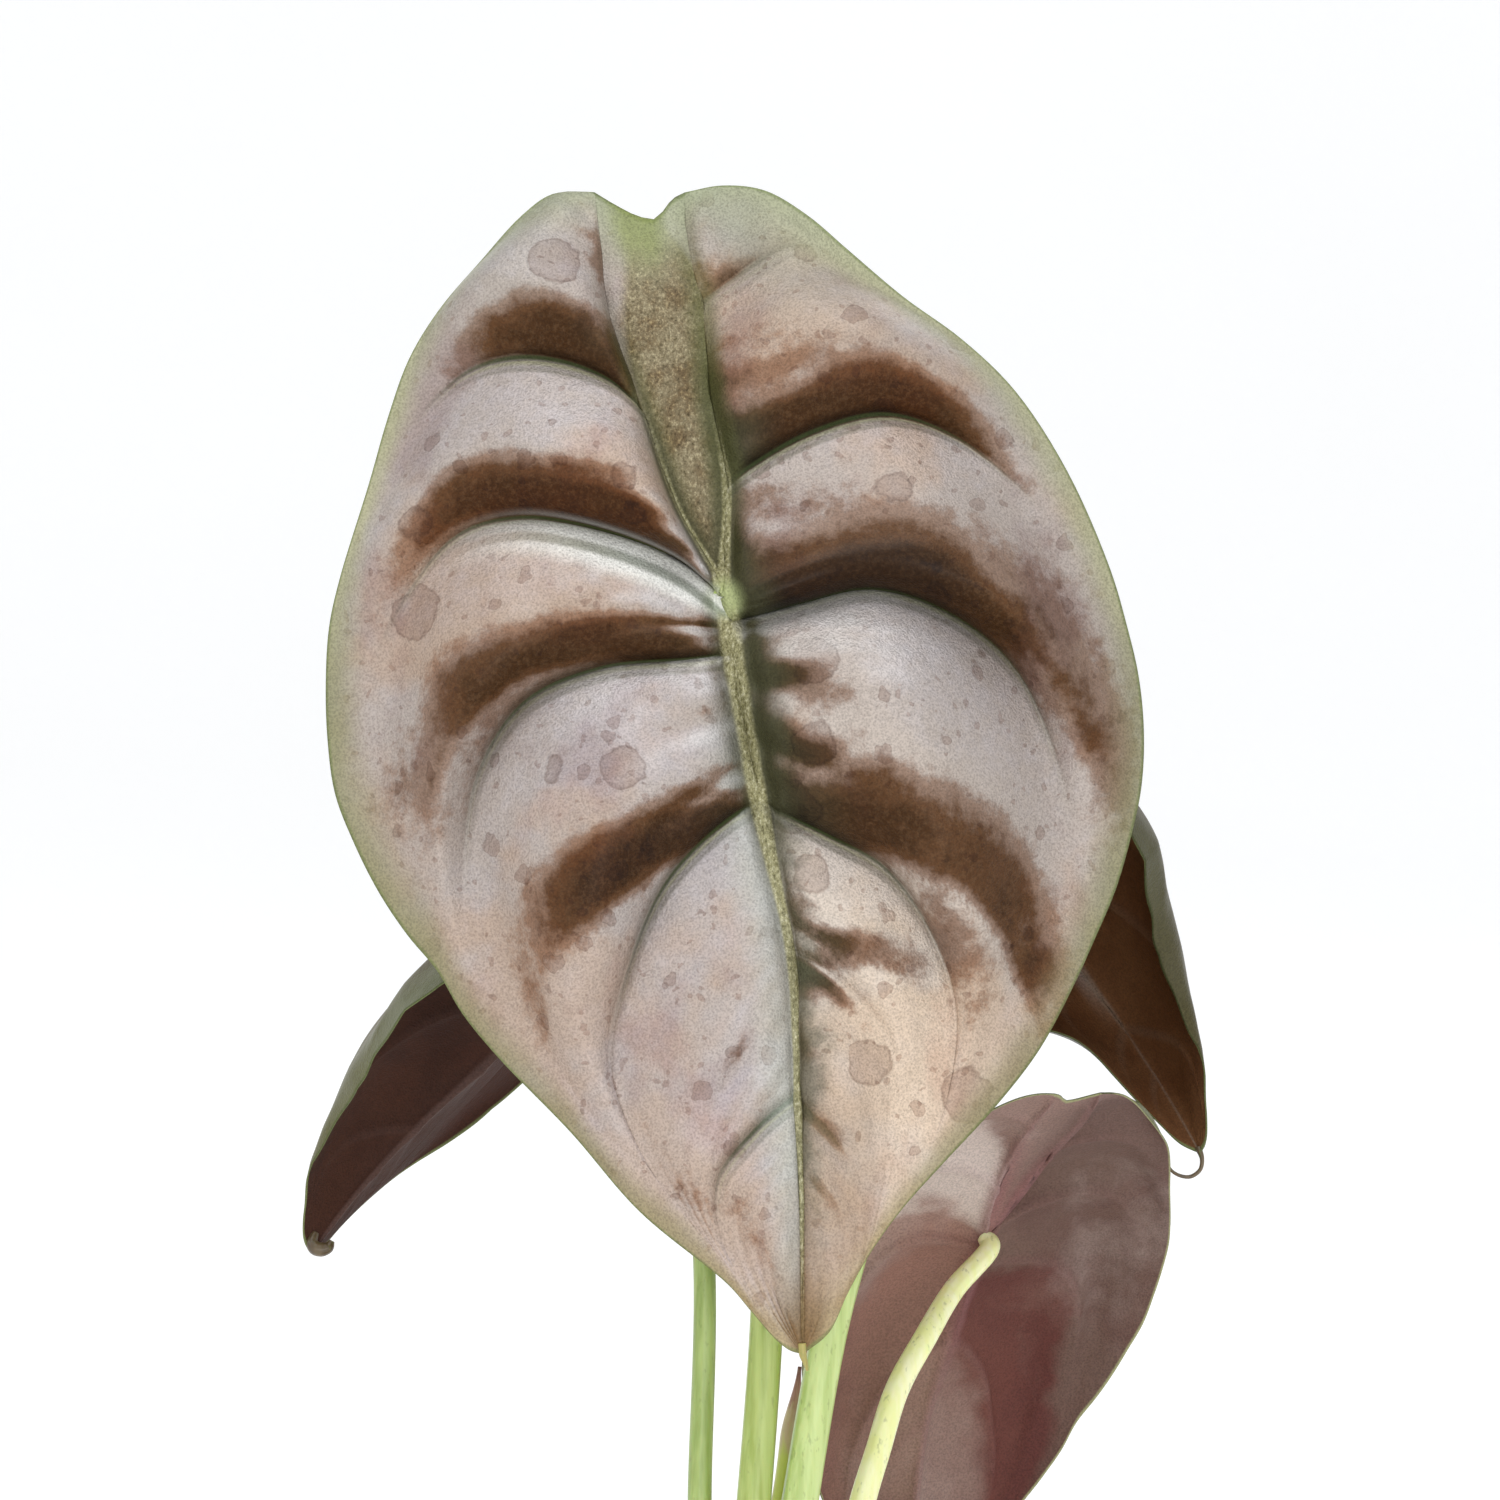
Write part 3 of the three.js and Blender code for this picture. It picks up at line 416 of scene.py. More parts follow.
    def add_slopes(self) -> None:
        """Notes how far each point of the upper side looks up or down when the blade faces the front, for painted light
        and shade.
        """
        f = self.fields
        f["fine"] = self.relief()
        pose = FacePose()
        flat, swollen, real = (
            normals_of(pose.place(f["x"], f["z"], height), self.faces)[:, 2]
            for height in (f["x"] * 0, f["swell"], f["swell"] + f["fine"])
        )
        # Painted light and shade: plus where a point faces up towards the light, minus where it faces down
        f["light_slope"] = 0.32 * (swollen - flat) + 0.9 * (real - swollen)


def normals_of(points: Array, faces: list) -> Array:
    """Unit normals at the points of a net of quads and triangles.

    Args:
        points: The points.
        faces: Corners of each face.

    Returns:
        One normal for each point.
    """
    quads = np.array([face if len(face) == 4 else [*face, face[2]] for face in faces])
    a, b, c, d = (points[quads[:, i]] for i in range(4))
    across = np.cross(c - a, d - b)
    triangle = quads[:, 2] == quads[:, 3]
    across[triangle] = np.cross(b - a, c - a)[triangle]
    total = np.zeros_like(points)
    for i in range(4):
        np.add.at(total, quads[:, i], across)
    return total / np.maximum(np.linalg.norm(total, axis=1, keepdims=True), 1e-12)


@dataclass
class FacePose:
    """How the main blade faces the front: domed, its upper edge leaning back.

    Attributes:
        joint: Where the stalk joins it.
        stretch: Its size against the pattern, across and along.
        tilt: How far it leans back.
        dome: How far the sides, the lobes and the tip fall back.
        mirror: Whether it is turned left for right.
    """

    joint: tuple = (3.2, -8, 391.4)
    stretch: tuple = (1.032, 1.015)
    tilt: float = 0.21
    dome: tuple = (12, 14, 9)
    mirror: bool = False

    def place(self, x: Array, z: Array, height: Array) -> Array:
        """Puts points of the flat pattern, with their heights, in their places.

        Args:
            x: Places across the flat blade.
            z: Places along it.
            height: Heights over it.

        Returns:
            Points in the frame, in millimetres.
        """
        sides, lobes, tip = self.dome
        along = np.where(z > 0, lobes * (z / HALF_SPAN) ** 2, tip * (z / TIP_DROP) ** 2)
        dome = sides * (x / HALF_SPAN) ** 2 + along
        flat = np.stack([x * self.stretch[0], z * self.tilt + dome - height, z * self.stretch[1]], -1)
        return flat + np.array(self.joint)


@dataclass
class HangPose:
    """How a rear blade hangs: it bends along the midrib and its halves fold and roll about it.

    Attributes:
        at: Where the stalk joins it.
        turn: Turns about z, x and y.
        scale: Its size against the pattern.
        wide: Its width against its length.
        fold: How far each half is folded down at the midrib.
        cross: How far each half bends on its way to the margin.
        lip: How far each margin rolls in towards the tip.
        lip_back: The same for the basal lobes.
        flare: How far each half opens two thirds of the way down.
        twist: How far the blade turns about its midrib.
        bend: How far the midrib bends below the joint.
        back: How far it bends in the lobes.
        tip_curl: How far the tip curls on.
        sway: How far the midrib swings aside.
        mirror: Whether it is turned left for right.
    """

    at: tuple
    turn: tuple
    scale: float
    wide: float
    fold: tuple
    cross: tuple
    lip: tuple
    lip_back: tuple
    flare: tuple
    twist: float
    bend: float
    back: float
    tip_curl: float
    sway: float
    mirror: bool = False

    def matrix(self) -> Array:
        """The turn of the whole blade.

        Returns:
            Three rows of three.
        """
        (cz, cx, cy), (sz, sx, sy) = np.cos(self.turn), np.sin(self.turn)
        about_z = np.array([[cz, -sz, 0], [sz, cz, 0], [0, 0, 1]])
        about_x = np.array([[1, 0, 0], [0, cx, -sx], [0, sx, cx]])
        about_y = np.array([[cy, 0, sy], [0, 1, 0], [-sy, 0, cy]])
        return about_z @ about_x @ about_y

    def place(self, x: Array, z: Array, height: Array) -> Array:
        """Puts points of the flat pattern, with their heights, in their places.

        Args:
            x: Places across the flat blade.
            z: Places along it.
            height: Heights over it.

        Returns:
            Points in the frame, in millimetres.
        """
        t = -z
        stations = np.array(MIDRIB)
        axis = np.where(t < 0, t * 0.197, np.interp(t, -stations[:, 2], stations[:, 1]))
        aside = x - axis
        left = aside < 0
        table = np.array(HALF_WIDTH)
        half = np.where(left, np.interp(t, table[:, 0], table[:, 1]), np.interp(t, table[:, 0], table[:, 2]))
        reach = np.abs(aside) / np.hypot(half, 18)
        pick = lambda pair: np.where(left, pair[0], pair[1])
        twist = self.twist * np.clip(t, -60, TIP_DROP) / TIP_DROP * np.where(left, 1, -1)
        start = pick(self.fold) + twist + pick(self.flare) * np.exp(-((t - 105) / 28) ** 2)
        lip = pick(self.lip_back) + (pick(self.lip) - pick(self.lip_back)) * ease(40, 100, t)
        turned = lambda v: start + pick(self.cross) * v + lip * ease(0.7, 1, v)
        curl = lambda d: self.tip_curl * (np.maximum(d, 0) / TIP_DROP) ** 4
        bent = lambda d: np.where(d > 0, self.bend * d / TIP_DROP + curl(d), self.back * d / 80)
        across, drop, run, sink = (np.zeros_like(t) for _ in range(4))
        steps, flatter = 14, 0.4
        for share in (np.arange(steps) + 0.5) / steps:
            across += np.cos(turned(share * reach)) / steps
            drop -= np.sin(turned(share * reach)) / steps
            run += np.cos(bent(share * t)) / steps
            sink -= np.sin(bent(share * t)) / steps
        swell, width = height * self.scale * flatter, np.abs(aside) * self.scale * self.wide
        up = drop * width + swell * np.cos(turned(reach))
        out = across * width + swell * np.sin(turned(reach))
        beta = bent(t)
        sideways = np.where(left, -out, out) + axis * self.scale + self.sway * (t / 100) ** 2 * 10
        local = np.stack([
            sideways * (-1 if self.mirror else 1),
            -(sink * t * self.scale + up * np.cos(beta)),
            -(run * t * self.scale + up * np.sin(beta)),
        ], -1)
        return local @ self.matrix().T + np.array(self.at)


def joint_of(pose: "FacePose | HangPose") -> tuple:
    """Where a blade's stalk ends, and the direction out of its underside there.

    Args:
        pose: How the blade stands or hangs.

    Returns:
        The point and the direction.
    """
    spots = pose.place(np.array([0.0, 3, -3, 0, 0]), np.array([0.0, 0, 0, 3, -3]), np.zeros(5))
    under = np.cross(spots[3] - spots[4], spots[1] - spots[2])
    under /= np.linalg.norm(under)
    return spots[0], -under if pose.mirror else under


def mesh_object(name: str, points: Array, faces: list, material: Material, smooth: bool = True) -> Piece:
    """Makes an object at the origin from points in millimetres.

    Args:
        name: The piece's name.
        points: Points in millimetres.
        faces: Corners of each face.
        material: Its finish.
        smooth: Whether its faces are shaded smooth.

    Returns:
        The object, linked to the scene.
    """
    made = bare_object(name, points, [], faces)
    made.data.polygons.foreach_set("use_smooth", [smooth] * len(made.data.polygons))
    made.data.materials.append(material)
    made.data.update()
    return made


def bare_object(name: str, points: Array, edges: list, faces: list) -> Piece:
    """Makes an object with no finish at the origin.

    Args:
        name: The piece's name.
        points: Points in millimetres.
        edges: Pairs of points.
        faces: Corners of each face.

    Returns:
        The object, linked to the scene.
    """
    mesh = bpy.data.meshes.new(name)
    mesh.from_pydata((np.asarray(points) * MM).tolist(), edges, faces)
    made = bpy.data.objects.new(name, mesh)
    bpy.context.collection.objects.link(made)
    return made


def baked(piece: Piece) -> Piece:
    """Keeps what the modifiers of an object make as its plain mesh.

    Args:
        piece: The object.

    Returns:
        The same object, with its new mesh and no modifier.
    """
    graph = bpy.context.evaluated_depsgraph_get()
    mesh = bpy.data.meshes.new_from_object(piece.evaluated_get(graph))
    mesh.name = piece.name
    piece.modifiers.clear()
    piece.data = mesh
    return piece


def keep(piece: Piece, name: str, values: Array) -> None:
    """Keeps a value at each point of a piece."""
    made = piece.data.attributes.new(name, "FLOAT", "POINT")
    made.data.foreach_set("value", values.astype(np.float32))


def open_edges(faces: list) -> list:
    """Edges that only one of the faces has, in that face's direction.

    Args:
        faces: Corners of each face.

    Returns:
        Pairs of points.
    """
    edges: dict = {}
    for face in faces:
        for pair in zip(face, face[1:] + face[:1]):
            if edges.pop(pair[::-1], None) is None:
                edges[pair] = True
    return list(edges)


def grid_quads(rows: int, columns: int, closed: bool = True) -> Array:
    """Joins rows of points by quads, round to the first column again if closed.

    Args:
        rows: Number of rows.
        columns: Points in a row.
        closed: Whether a row is a ring.

    Returns:
        Four corners for each quad.
    """
    across = columns if closed else columns - 1
    i, j = np.meshgrid(np.arange(rows - 1), np.arange(across), indexing="ij")
    a, b = i * columns + j, i * columns + (j + 1) % columns
    return np.stack([a, b, b + columns, a + columns], -1).reshape(-1, 4)


def hand_over(piece: Piece, slot: str, *nodes: str) -> Piece:
    """Lets a piece ride on the plant and stand for the given solids, and reports it.

    Args:
        piece: The piece.
        slot: Not used.
        nodes: The solids that it stands for.

    Returns:
        The piece.
    """
    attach(piece, "root")
    if nodes:
        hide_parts(*nodes)
    log.info("%s: %d faces, stands for %s", piece.name, len(piece.data.polygons), ", ".join(nodes) or "none")
    return piece


class Sketch:
    """Adds nodes to a tree in a few words."""

    def __init__(self, tree: Tree) -> None:
        """Keeps the tree."""
        self.tree = tree

    def add(self, kind: str, sockets: dict | None = None, **settings: object) -> Node:
        """Adds a node.

        Args:
            kind: The node's type name.
            sockets: Values or links for its inputs, by name or number.
            settings: Its own properties.

        Returns:
            The node.
        """
        node = self.tree.nodes.new(kind)
        for key, value in settings.items():
            setattr(node, key, value)
        for key, value in (sockets or {}).items():
            self.feed(node.inputs[key], value)
        return node

    def one(self, kind: str, sockets: dict | None = None, **settings: object) -> Socket:
        """Adds a node and gives its first output."""
        return self.add(kind, sockets, **settings).outputs[0]

    def feed(self, socket: Socket, value: object) -> None:
        """Links or sets one input.

        Args:
            socket: The input.
            value: A socket to link, or a value.
        """
        if isinstance(value, Socket):
            self.tree.links.new(value, socket)
        else:
            socket.default_value = value

    def math(self, operation: str, a: object, b: object = 0.0, clamp: bool = False) -> Socket:
        """One sum of two values."""
        return self.one("ShaderNodeMath", {0: a, 1: b}, operation=operation, use_clamp=clamp)

    def times(self, first: object, *others: object) -> object:
        """Multiplies values, one after another.

        Args:
            first: A value or socket.
            others: More of them.

        Returns:
            The product.
        """
        for other in others:
            first = self.math("MULTIPLY", first, other)
        return first

    def plus(self, a: object, b: object, clamp: bool = False) -> Socket:
        """Adds two values."""
        return self.math("ADD", a, b, clamp)

    def minus(self, a: object, b: object, clamp: bool = False) -> Socket:
        """Takes the second value from the first."""
        return self.math("SUBTRACT", a, b, clamp)

    def rest(self, value: object, clamp: bool = False) -> Socket:
        """What a share leaves of one."""
        return self.math("SUBTRACT", 1.0, value, clamp)

    def swing(self, cloud: object, reach: float) -> Socket:
        """Lets cloudy values swing about nought."""
        return self.times(self.minus(cloud, 0.5), reach)

    def fade(self, value: object, start: float, end: float) -> Socket:
        """Gives 0 at start and 1 at end, softly between them."""
        sockets = {"Value": value, "From Min": start, "From Max": end, "To Min": 0.0, "To Max": 1.0}
        return self.one("ShaderNodeMapRange", sockets, interpolation_type="SMOOTHSTEP", clamp=True)

    def wane(self, value: object, start: float, end: float) -> Socket:
        """Gives 1 at start and 0 at end, softly between them."""
        return self.rest(self.fade(value, start, end))

    def mix(self, share: object, a: object, b: object, blend: str = "MIX") -> Socket:
        """Mixes two colours."""
        node = self.add("ShaderNodeMix", {0: share, 6: a, 7: b}, data_type="RGBA", blend_type=blend)
        return node.outputs[2]

    def tint(self, colour: object, code: str, *masks: object, blend: str = "MIX") -> Socket:
        """Lays a colour code over a colour, as far as all the masks let it through."""
        return self.mix(self.times(*masks), colour, hexed(code), blend)

    def ramp(self, value: object, stops: list) -> Socket:
        """Reads a colour from a ramp of (place, colour or code) stops.

        Args:
            value: What is looked up.
            stops: The stops.

        Returns:
            The colour.
        """
        node = self.add("ShaderNodeValToRGB", {0: value})
        node.color_ramp.interpolation = "EASE"
        elements = node.color_ramp.elements
        while len(elements) < len(stops):
            elements.new(0.5)
        for element, (place, colour) in zip(elements, stops):
            element.position = place
            element.color = hexed(colour) if isinstance(colour, str) else colour
        return node.outputs[0]

    def attribute(self, name: str) -> Socket:
        """Reads a value that the piece keeps at its points."""
        return self.add("ShaderNodeAttribute", attribute_name=name, attribute_type="GEOMETRY").outputs["Fac"]

    def place(self, scale: tuple = (1, 1, 1)) -> Socket:
        """Object coordinates, stretched by a scale."""
        coordinates = self.add("ShaderNodeTexCoord").outputs["Object"]
        return self.one("ShaderNodeMapping", {"Vector": coordinates, "Scale": scale})

    def noise(self, scale: float, detail: float = 3.0, rough: float = 0.55, stretch: tuple = (1, 1, 1)) -> Socket:
        """Cloudy values about a half."""
        sockets = {"Vector": self.place(stretch), "Scale": scale, "Detail": detail, "Roughness": rough}
        return self.add("ShaderNodeTexNoise", sockets).outputs["Fac"]

    def group(self, tree: Tree, output: str, sockets: dict) -> Socket:
        """Places a shared effect and gives one of its outputs.

        Args:
            tree: The effect.
            output: The output's name.
            sockets: Values or links for its inputs.

        Returns:
            The output.
        """
        node = self.add("ShaderNodeGroup", node_tree=tree)
        for key, value in sockets.items():
            self.feed(node.inputs[key], value)
        return node.outputs[output]


class Effects:
    """The effects that more than one finish uses, each built once."""

    def __init__(self) -> None:
        """Builds the groups."""
        self.grain = self.build_grain()
        self.stains = self.build_stains()
        self.line = self.build_line()

    def stroke(self, s: Sketch, distance: object, inner: object, outer: object) -> Socket:
        """Places the soft line in a tree."""
        return s.group(self.line, "Mask", {"Distance": distance, "Inner": inner, "Outer": outer})

    def speckle(self, s: Sketch, scale: float, amount: float) -> Socket:
        """Places the fine grain in a tree."""
        return s.group(self.grain, "Mask", {"Scale": scale, "Amount": amount})

    @staticmethod
    def start(name: str, inputs: dict, outputs: list) -> tuple:
        """Starts a group with named value inputs and outputs.

        Args:
            name: The group's name.
            inputs: Values by input.
            outputs: Names of the outputs.

        Returns:
            The group, a sketch of it, what it is given and what it gives.
        """
        tree = bpy.data.node_groups.new(name, "ShaderNodeTree")
        for key, value in inputs.items():
            socket = tree.interface.new_socket(key, in_out="INPUT", socket_type="NodeSocketFloat")
            socket.default_value = value
        for key in outputs:
            tree.interface.new_socket(key, in_out="OUTPUT", socket_type="NodeSocketFloat")
        sketch = Sketch(tree)
        return tree, sketch, sketch.add("NodeGroupInput").outputs, sketch.add("NodeGroupOutput").inputs

    def build_grain(self) -> Tree:
        """Fine cell-like grain, about a half.

        Returns:
            The group.
        """
        tree, s, given, out = self.start("Fine grain", {"Scale": 900.0, "Amount": 1.0}, ["Mask"])
        where = s.add("ShaderNodeTexCoord").outputs["Object"]
        fine = s.add("ShaderNodeTexNoise", {"Vector": where, "Scale": given["Scale"], "Detail": 2.0}).outputs["Fac"]
        cells = s.add("ShaderNodeTexVoronoi", {"Vector": where, "Scale": given["Scale"]}).outputs["Distance"]
        both = s.minus(s.plus(fine, s.times(cells, 0.5)), 0.75)
        s.feed(out[0], s.plus(s.times(both, given["Amount"]), 0.5, clamp=True))
        return tree

    def build_stains(self) -> Tree:
        """Dried drops: round patches with a darker rim, on a share of the cells.

        Returns:
            The group.
        """
        tree, s, given, out = self.start("Dried drops", {"Scale": 90.0, "Share": 0.5}, ["Patch", "Rim"])
        where = s.add("ShaderNodeTexCoord").outputs["Object"]
        wobble = s.add("ShaderNodeTexNoise", {"Vector": where, "Scale": 260.0, "Detail": 2.0}).outputs["Color"]
        shifted = s.one("ShaderNodeVectorMath", {0: wobble, "Scale": 0.004}, operation="SCALE")
        moved = s.one("ShaderNodeVectorMath", {0: where, 1: shifted}, operation="ADD")
        cells = s.add("ShaderNodeTexVoronoi", {"Vector": moved, "Scale": given["Scale"]})
        chance = s.add("ShaderNodeSeparateColor", {0: cells.outputs["Color"]})
        kept = s.math("LESS_THAN", chance.outputs[0], given["Share"])
        radius = s.plus(s.times(chance.outputs[1], 0.3), 0.08)
        off = s.minus(cells.outputs["Distance"], radius)
        patch = s.wane(off, -0.03, 0.0)
        rim = s.wane(s.math("ABSOLUTE", off), 0.0, 0.035)
        s.feed(out[0], s.times(patch, kept))
        s.feed(out[1], s.times(rim, kept))
        return tree

    def build_line(self) -> Tree:
        """A soft line: 1 up to the inner distance, 0 from the outer one.

        Returns:
            The group.
        """
        tree, s, given, out = self.start("Soft line", {"Distance": 0.0, "Inner": 0.5, "Outer": 1.5}, ["Mask"])
        sockets = {"Value": given[0], "From Min": given[1], "From Max": given[2], "To Min": 1.0, "To Max": 0.0}
        s.feed(out[0], s.one("ShaderNodeMapRange", sockets, interpolation_type="SMOOTHSTEP", clamp=True))
        return tree


def new_material(name: str, constants: dict) -> tuple:
    """Starts a material with one Principled shader.

    Args:
        name: The finish's name.
        constants: Values set on the shader's own sockets.

    Returns:
        The material, a sketch of its tree and its shader.
    """
    material = bpy.data.materials.new(name)
    material.use_nodes = True
    shader = material.node_tree.nodes["Principled BSDF"]
    for key, value in constants.items():
        shader.inputs[key].default_value = value
    return material, Sketch(material.node_tree), shader


def finish_material(s: Sketch, shader: Node, colour: object, roughness: object, height: object, depth: float) -> None:
    """Feeds a shader its colour, roughness and bump.

    Args:
        s: The sketch of the tree.
        shader: The shader.
        colour: Its colour.
        roughness: Its roughness.
        height: Relief for the bump.
        depth: Depth of the bump, in millimetres.
    """
    s.feed(shader.inputs["Base Color"], colour)
    s.feed(shader.inputs["Roughness"], roughness)
    bump = s.add("ShaderNodeBump", {"Strength": 1.0, "Distance": depth * MM, "Height": height})
    s.feed(shader.inputs["Normal"], bump.outputs[0])


# Colour of the margin from the notch to the tip
MARGIN_COLOURS = [
    (0.0, "A0A688"), (0.22, "B2B28C"), (0.34, "94946E"), (0.6, "928A66"),
    (0.8, "A6946A"), (0.93, "B09C74"), (1.0, "775C34"),
]


@dataclass(frozen=True)
class BladeFinish:
    """Coppery upper side with green veins, dark red underside."""

    name: str
    deep: str = "3F2405"
    dark: str = "5B3B20"
    mid: str = "8F7666"
    pale: str = "B5A9A1"
    lilac: str = "BFB7B8"
    tan: str = "C2A384"
    vein: str = "39431F"
    web: str = "8C8064"
    under: str = "3E1E10"
    under_light: str = "512D1E"
    under_rib: str = "6E5650"
    under_edge: str = "7F8858"
    rib_share: float = 0.5
    vein_share: float = 0.12
    blotch: str = "4C2B20"
    rim: float = 18.0
    painted_shade: str = "FFFFFF"
    sheen: float = 0.0
    zones: tuple = ()

    def upper(self, s: Sketch, shared: Effects) -> Socket:
        """Colour of the upper side.

        Args:
            s: The sketch of the tree.
            shared: The shared effects.

        Returns:
            The colour.
        """
        light_slope, brown, station, side, u, web = map(s.attribute, ("light_slope", "brown", "station", "side", "u", "web"))
        vein, rib, spine, edge, hub = map(s.attribute, ("vein", "rib", "spine", "edge", "hub"))
        cloud, mottle = s.noise(45.0, 5.0, 0.65), s.noise(260.0, 4.0, 0.7)
        # The ground: painted light and shade from how far the relief faces up or down, with clouds, painted brown shade
        # on the lower flanks, a painted cream highlight on the lit swells below and painted green-grey shade beside the
        # midrib
        shifted = s.plus(s.plus(light_slope, s.swing(cloud, 0.3)), s.swing(mottle, 0.42))
        # Clouds break up the painted flank shade towards the margin
        shade_breakup = s.times(s.wane(cloud, 0.42, 0.6), s.fade(u, 0.3, 0.8))
        shifted = s.minus(shifted, s.times(brown, s.minus(0.58, s.times(shade_breakup, 0.16))))
        # Painted light: lighter towards the tip, where the domed blade faces down, away from the light above
        shifted = s.plus(shifted, s.times(s.fade(station, 16.0, 24.0), 0.08))
        level = s.plus(shifted, 0.68, clamp=True)
        stops = [(0.0, self.deep), (0.2, self.dark), (0.42, self.mid), (0.62, self.pale), (1.0, self.lilac)]
        colour = s.ramp(level, stops)
        fleck = s.times(s.fade(s.noise(950.0, 4.0, 0.75), 0.42, 0.66), s.wane(level, 0.2, 0.45))
        colour = s.tint(colour, "6C5036", fleck, 0.38)
        # Painted highlight: the lit swells of the lower half turn cream, greyer on the left and warmer on the right
        cream = s.times(
            s.fade(station, 17.0, 27.0), s.fade(level, 0.4, 0.66), 0.62,
            s.rest(s.times(s.fade(station, 28.0, 31.5), 0.6)),
        )
        colour = s.mix(
            s.times(cream, s.plus(s.times(side, 0.6), 0.4)), colour, s.mix(side, hexed("C9C3C4"), hexed("E4D6C6")),
        )
        # Painted shade: the dark parts near the midrib turn green-grey, further out on the right
        reach = s.plus(s.times(side, s.fade(station, 14.0, 18.0), 9.0), 16.0)
        shade = s.times(s.wane(level, 0.15, 0.5), s.wane(rib, 3.0, reach))
        colour = s.tint(colour, "3E3E2A", shade, s.plus(s.times(side, 0.5), 0.3))
        # Warm and cool clouds, the dull lobes and dried drops
        warm = s.fade(s.noise(19.0, 4.0, 0.6), 0.48, 0.62)
        colour = s.tint(colour, self.tan, warm, 0.6, blend="SOFT_LIGHT")
        cool = s.fade(s.noise(28.0, 4.0, 0.6, (1.3, 1.0, 0.8)), 0.52, 0.66)
        colour = s.tint(colour, "7F6E7A", cool, 0.55, blend="SOFT_LIGHT")
        dull = s.times(s.wane(station, 2.0, 8.0), s.fade(level, 0.2, 0.5), s.fade(u, 0.05, 0.5))
        colour = s.tint(colour, "969A8A", dull, s.plus(s.times(side, 0.45), 0.25))
        for scale, share, patch, rim in ((62.0, 0.5, 0.35, 0.5), (160.0, 0.3, 0.4, 0.45), (420.0, 0.3, 0.4, 0.3)):
            drops = {"Scale": scale, "Share": share}
            colour = s.tint(colour, "B59A8E", s.group(shared.stains, "Patch", drops), patch, blend="MULTIPLY")
            colour = s.tint(colour, "8E7264", s.group(shared.stains, "Rim", drops), rim, blend="MULTIPLY")
        fibre = s.noise(1500.0, 4.0, 0.75, (1.0, 1.0, 0.6))
        golden = s.times(s.fade(station, 28.5, 32.0), side, s.plus(s.times(mottle, 0.7), 0.1))
        colour = s.tint(colour, "A98C6C", golden)
        # Painted shade, deeper where the brown flank shade is strongest
        colour = s.tint(colour, "4A3824", s.minus(brown, 1.0, clamp=True), blend="MULTIPLY")
        # The felt between the two basal ribs
        fur = s.ramp(fibre, [(0.3, "5C5238"), (0.5, self.web), (0.7, "BDB291")])
        fur = s.tint(fur, "6A5040", s.fade(s.noise(90.0, 5.0, 0.75), 0.4, 0.64), 0.75, blend="SOFT_LIGHT")
        from_left = s.minus(side, s.times(s.wane(station, 2.0, 7.0), 0.26))
        from_right = s.minus(s.rest(side), s.times(s.wane(station, 0.5, 3.0), 0.3))
        felt = s.times(s.fade(from_left, -0.06, 0.1), s.fade(from_right, -0.08, 0.04), web)
        colour = s.mix(felt, colour, fur)
        # The side veins as far as they reach: green, darker olive along their sunken creases, partly painted shade, a
        # painted highlight on the slope just below each, and a thin darker line below that
        late = s.times(s.fade(station, 14.0, 26.0), -0.25)
        inward = s.wane(u, s.plus(late, 0.32), s.plus(late, 0.85))
        inward = s.times(
            inward, s.rest(s.times(s.fade(station, 25.8, 27.0), side)), s.rest(s.times(s.wane(station, 4.6, 6.5), 0.7)),
        )
        # Darker olive along the sunken veins: their own green, partly painted crease shade
        colour = s.tint(colour, "6A6B46", shared.stroke(s, vein, 0.3, 3.6), inward, 0.75, blend="MULTIPLY")
        # Painted highlight on the slope just below each vein
        beneath = s.times(s.math("LESS_THAN", s.attribute("w"), 0.5), inward, s.fade(vein, 0.8, 1.2))
        colour = s.tint(colour, "BDBB93", shared.stroke(s, vein, 1.2, 2.2), beneath, 0.5)
        second = shared.stroke(s, s.math("ABSOLUTE", s.minus(vein, 2.7)), 0.1, 0.7)
        colour = s.tint(colour, "55553A", second, beneath, 0.4)
        colour = s.tint(colour, self.vein, shared.stroke(s, vein, 0.2, 0.95), inward, 0.9)
        # The ribs and the midrib: green lines, a painted highlight left of the midrib, painted shade right of it and in
        # the groove beside it, and the rope of the ridge
        band = s.plus(s.times(side, 0.5), s.times(s.fade(station, 3.0, 7.0), 0.35))
        band = s.times(s.wane(station, 8.0, 12.0), band)
        # Painted highlight: pale green-white on the lit swells left of the lower midrib
        rib_highlight = s.times(s.rest(side), s.fade(station, 19.0, 24.0), 0.5, s.wane(rib, 2.0, 13.0))
        colour = s.tint(colour, "BCC3B8", rib_highlight, s.fade(level, 0.35, 0.6))
        colour = s.tint(colour, "666A38", shared.stroke(s, rib, 0.3, 5.5), band)
        # Painted shade: a ragged green-grey band right of the midrib
        ragged = s.plus(rib, s.swing(s.noise(85.0, 5.0, 0.7), 24.0))
        gully_shade = s.times(s.wane(ragged, 2.0, 10.0), s.wane(station, 32.0, 34.4), s.fade(station, 12.0, 17.0), side)
        colour = s.tint(colour, "5A5945", gully_shade, 0.7)
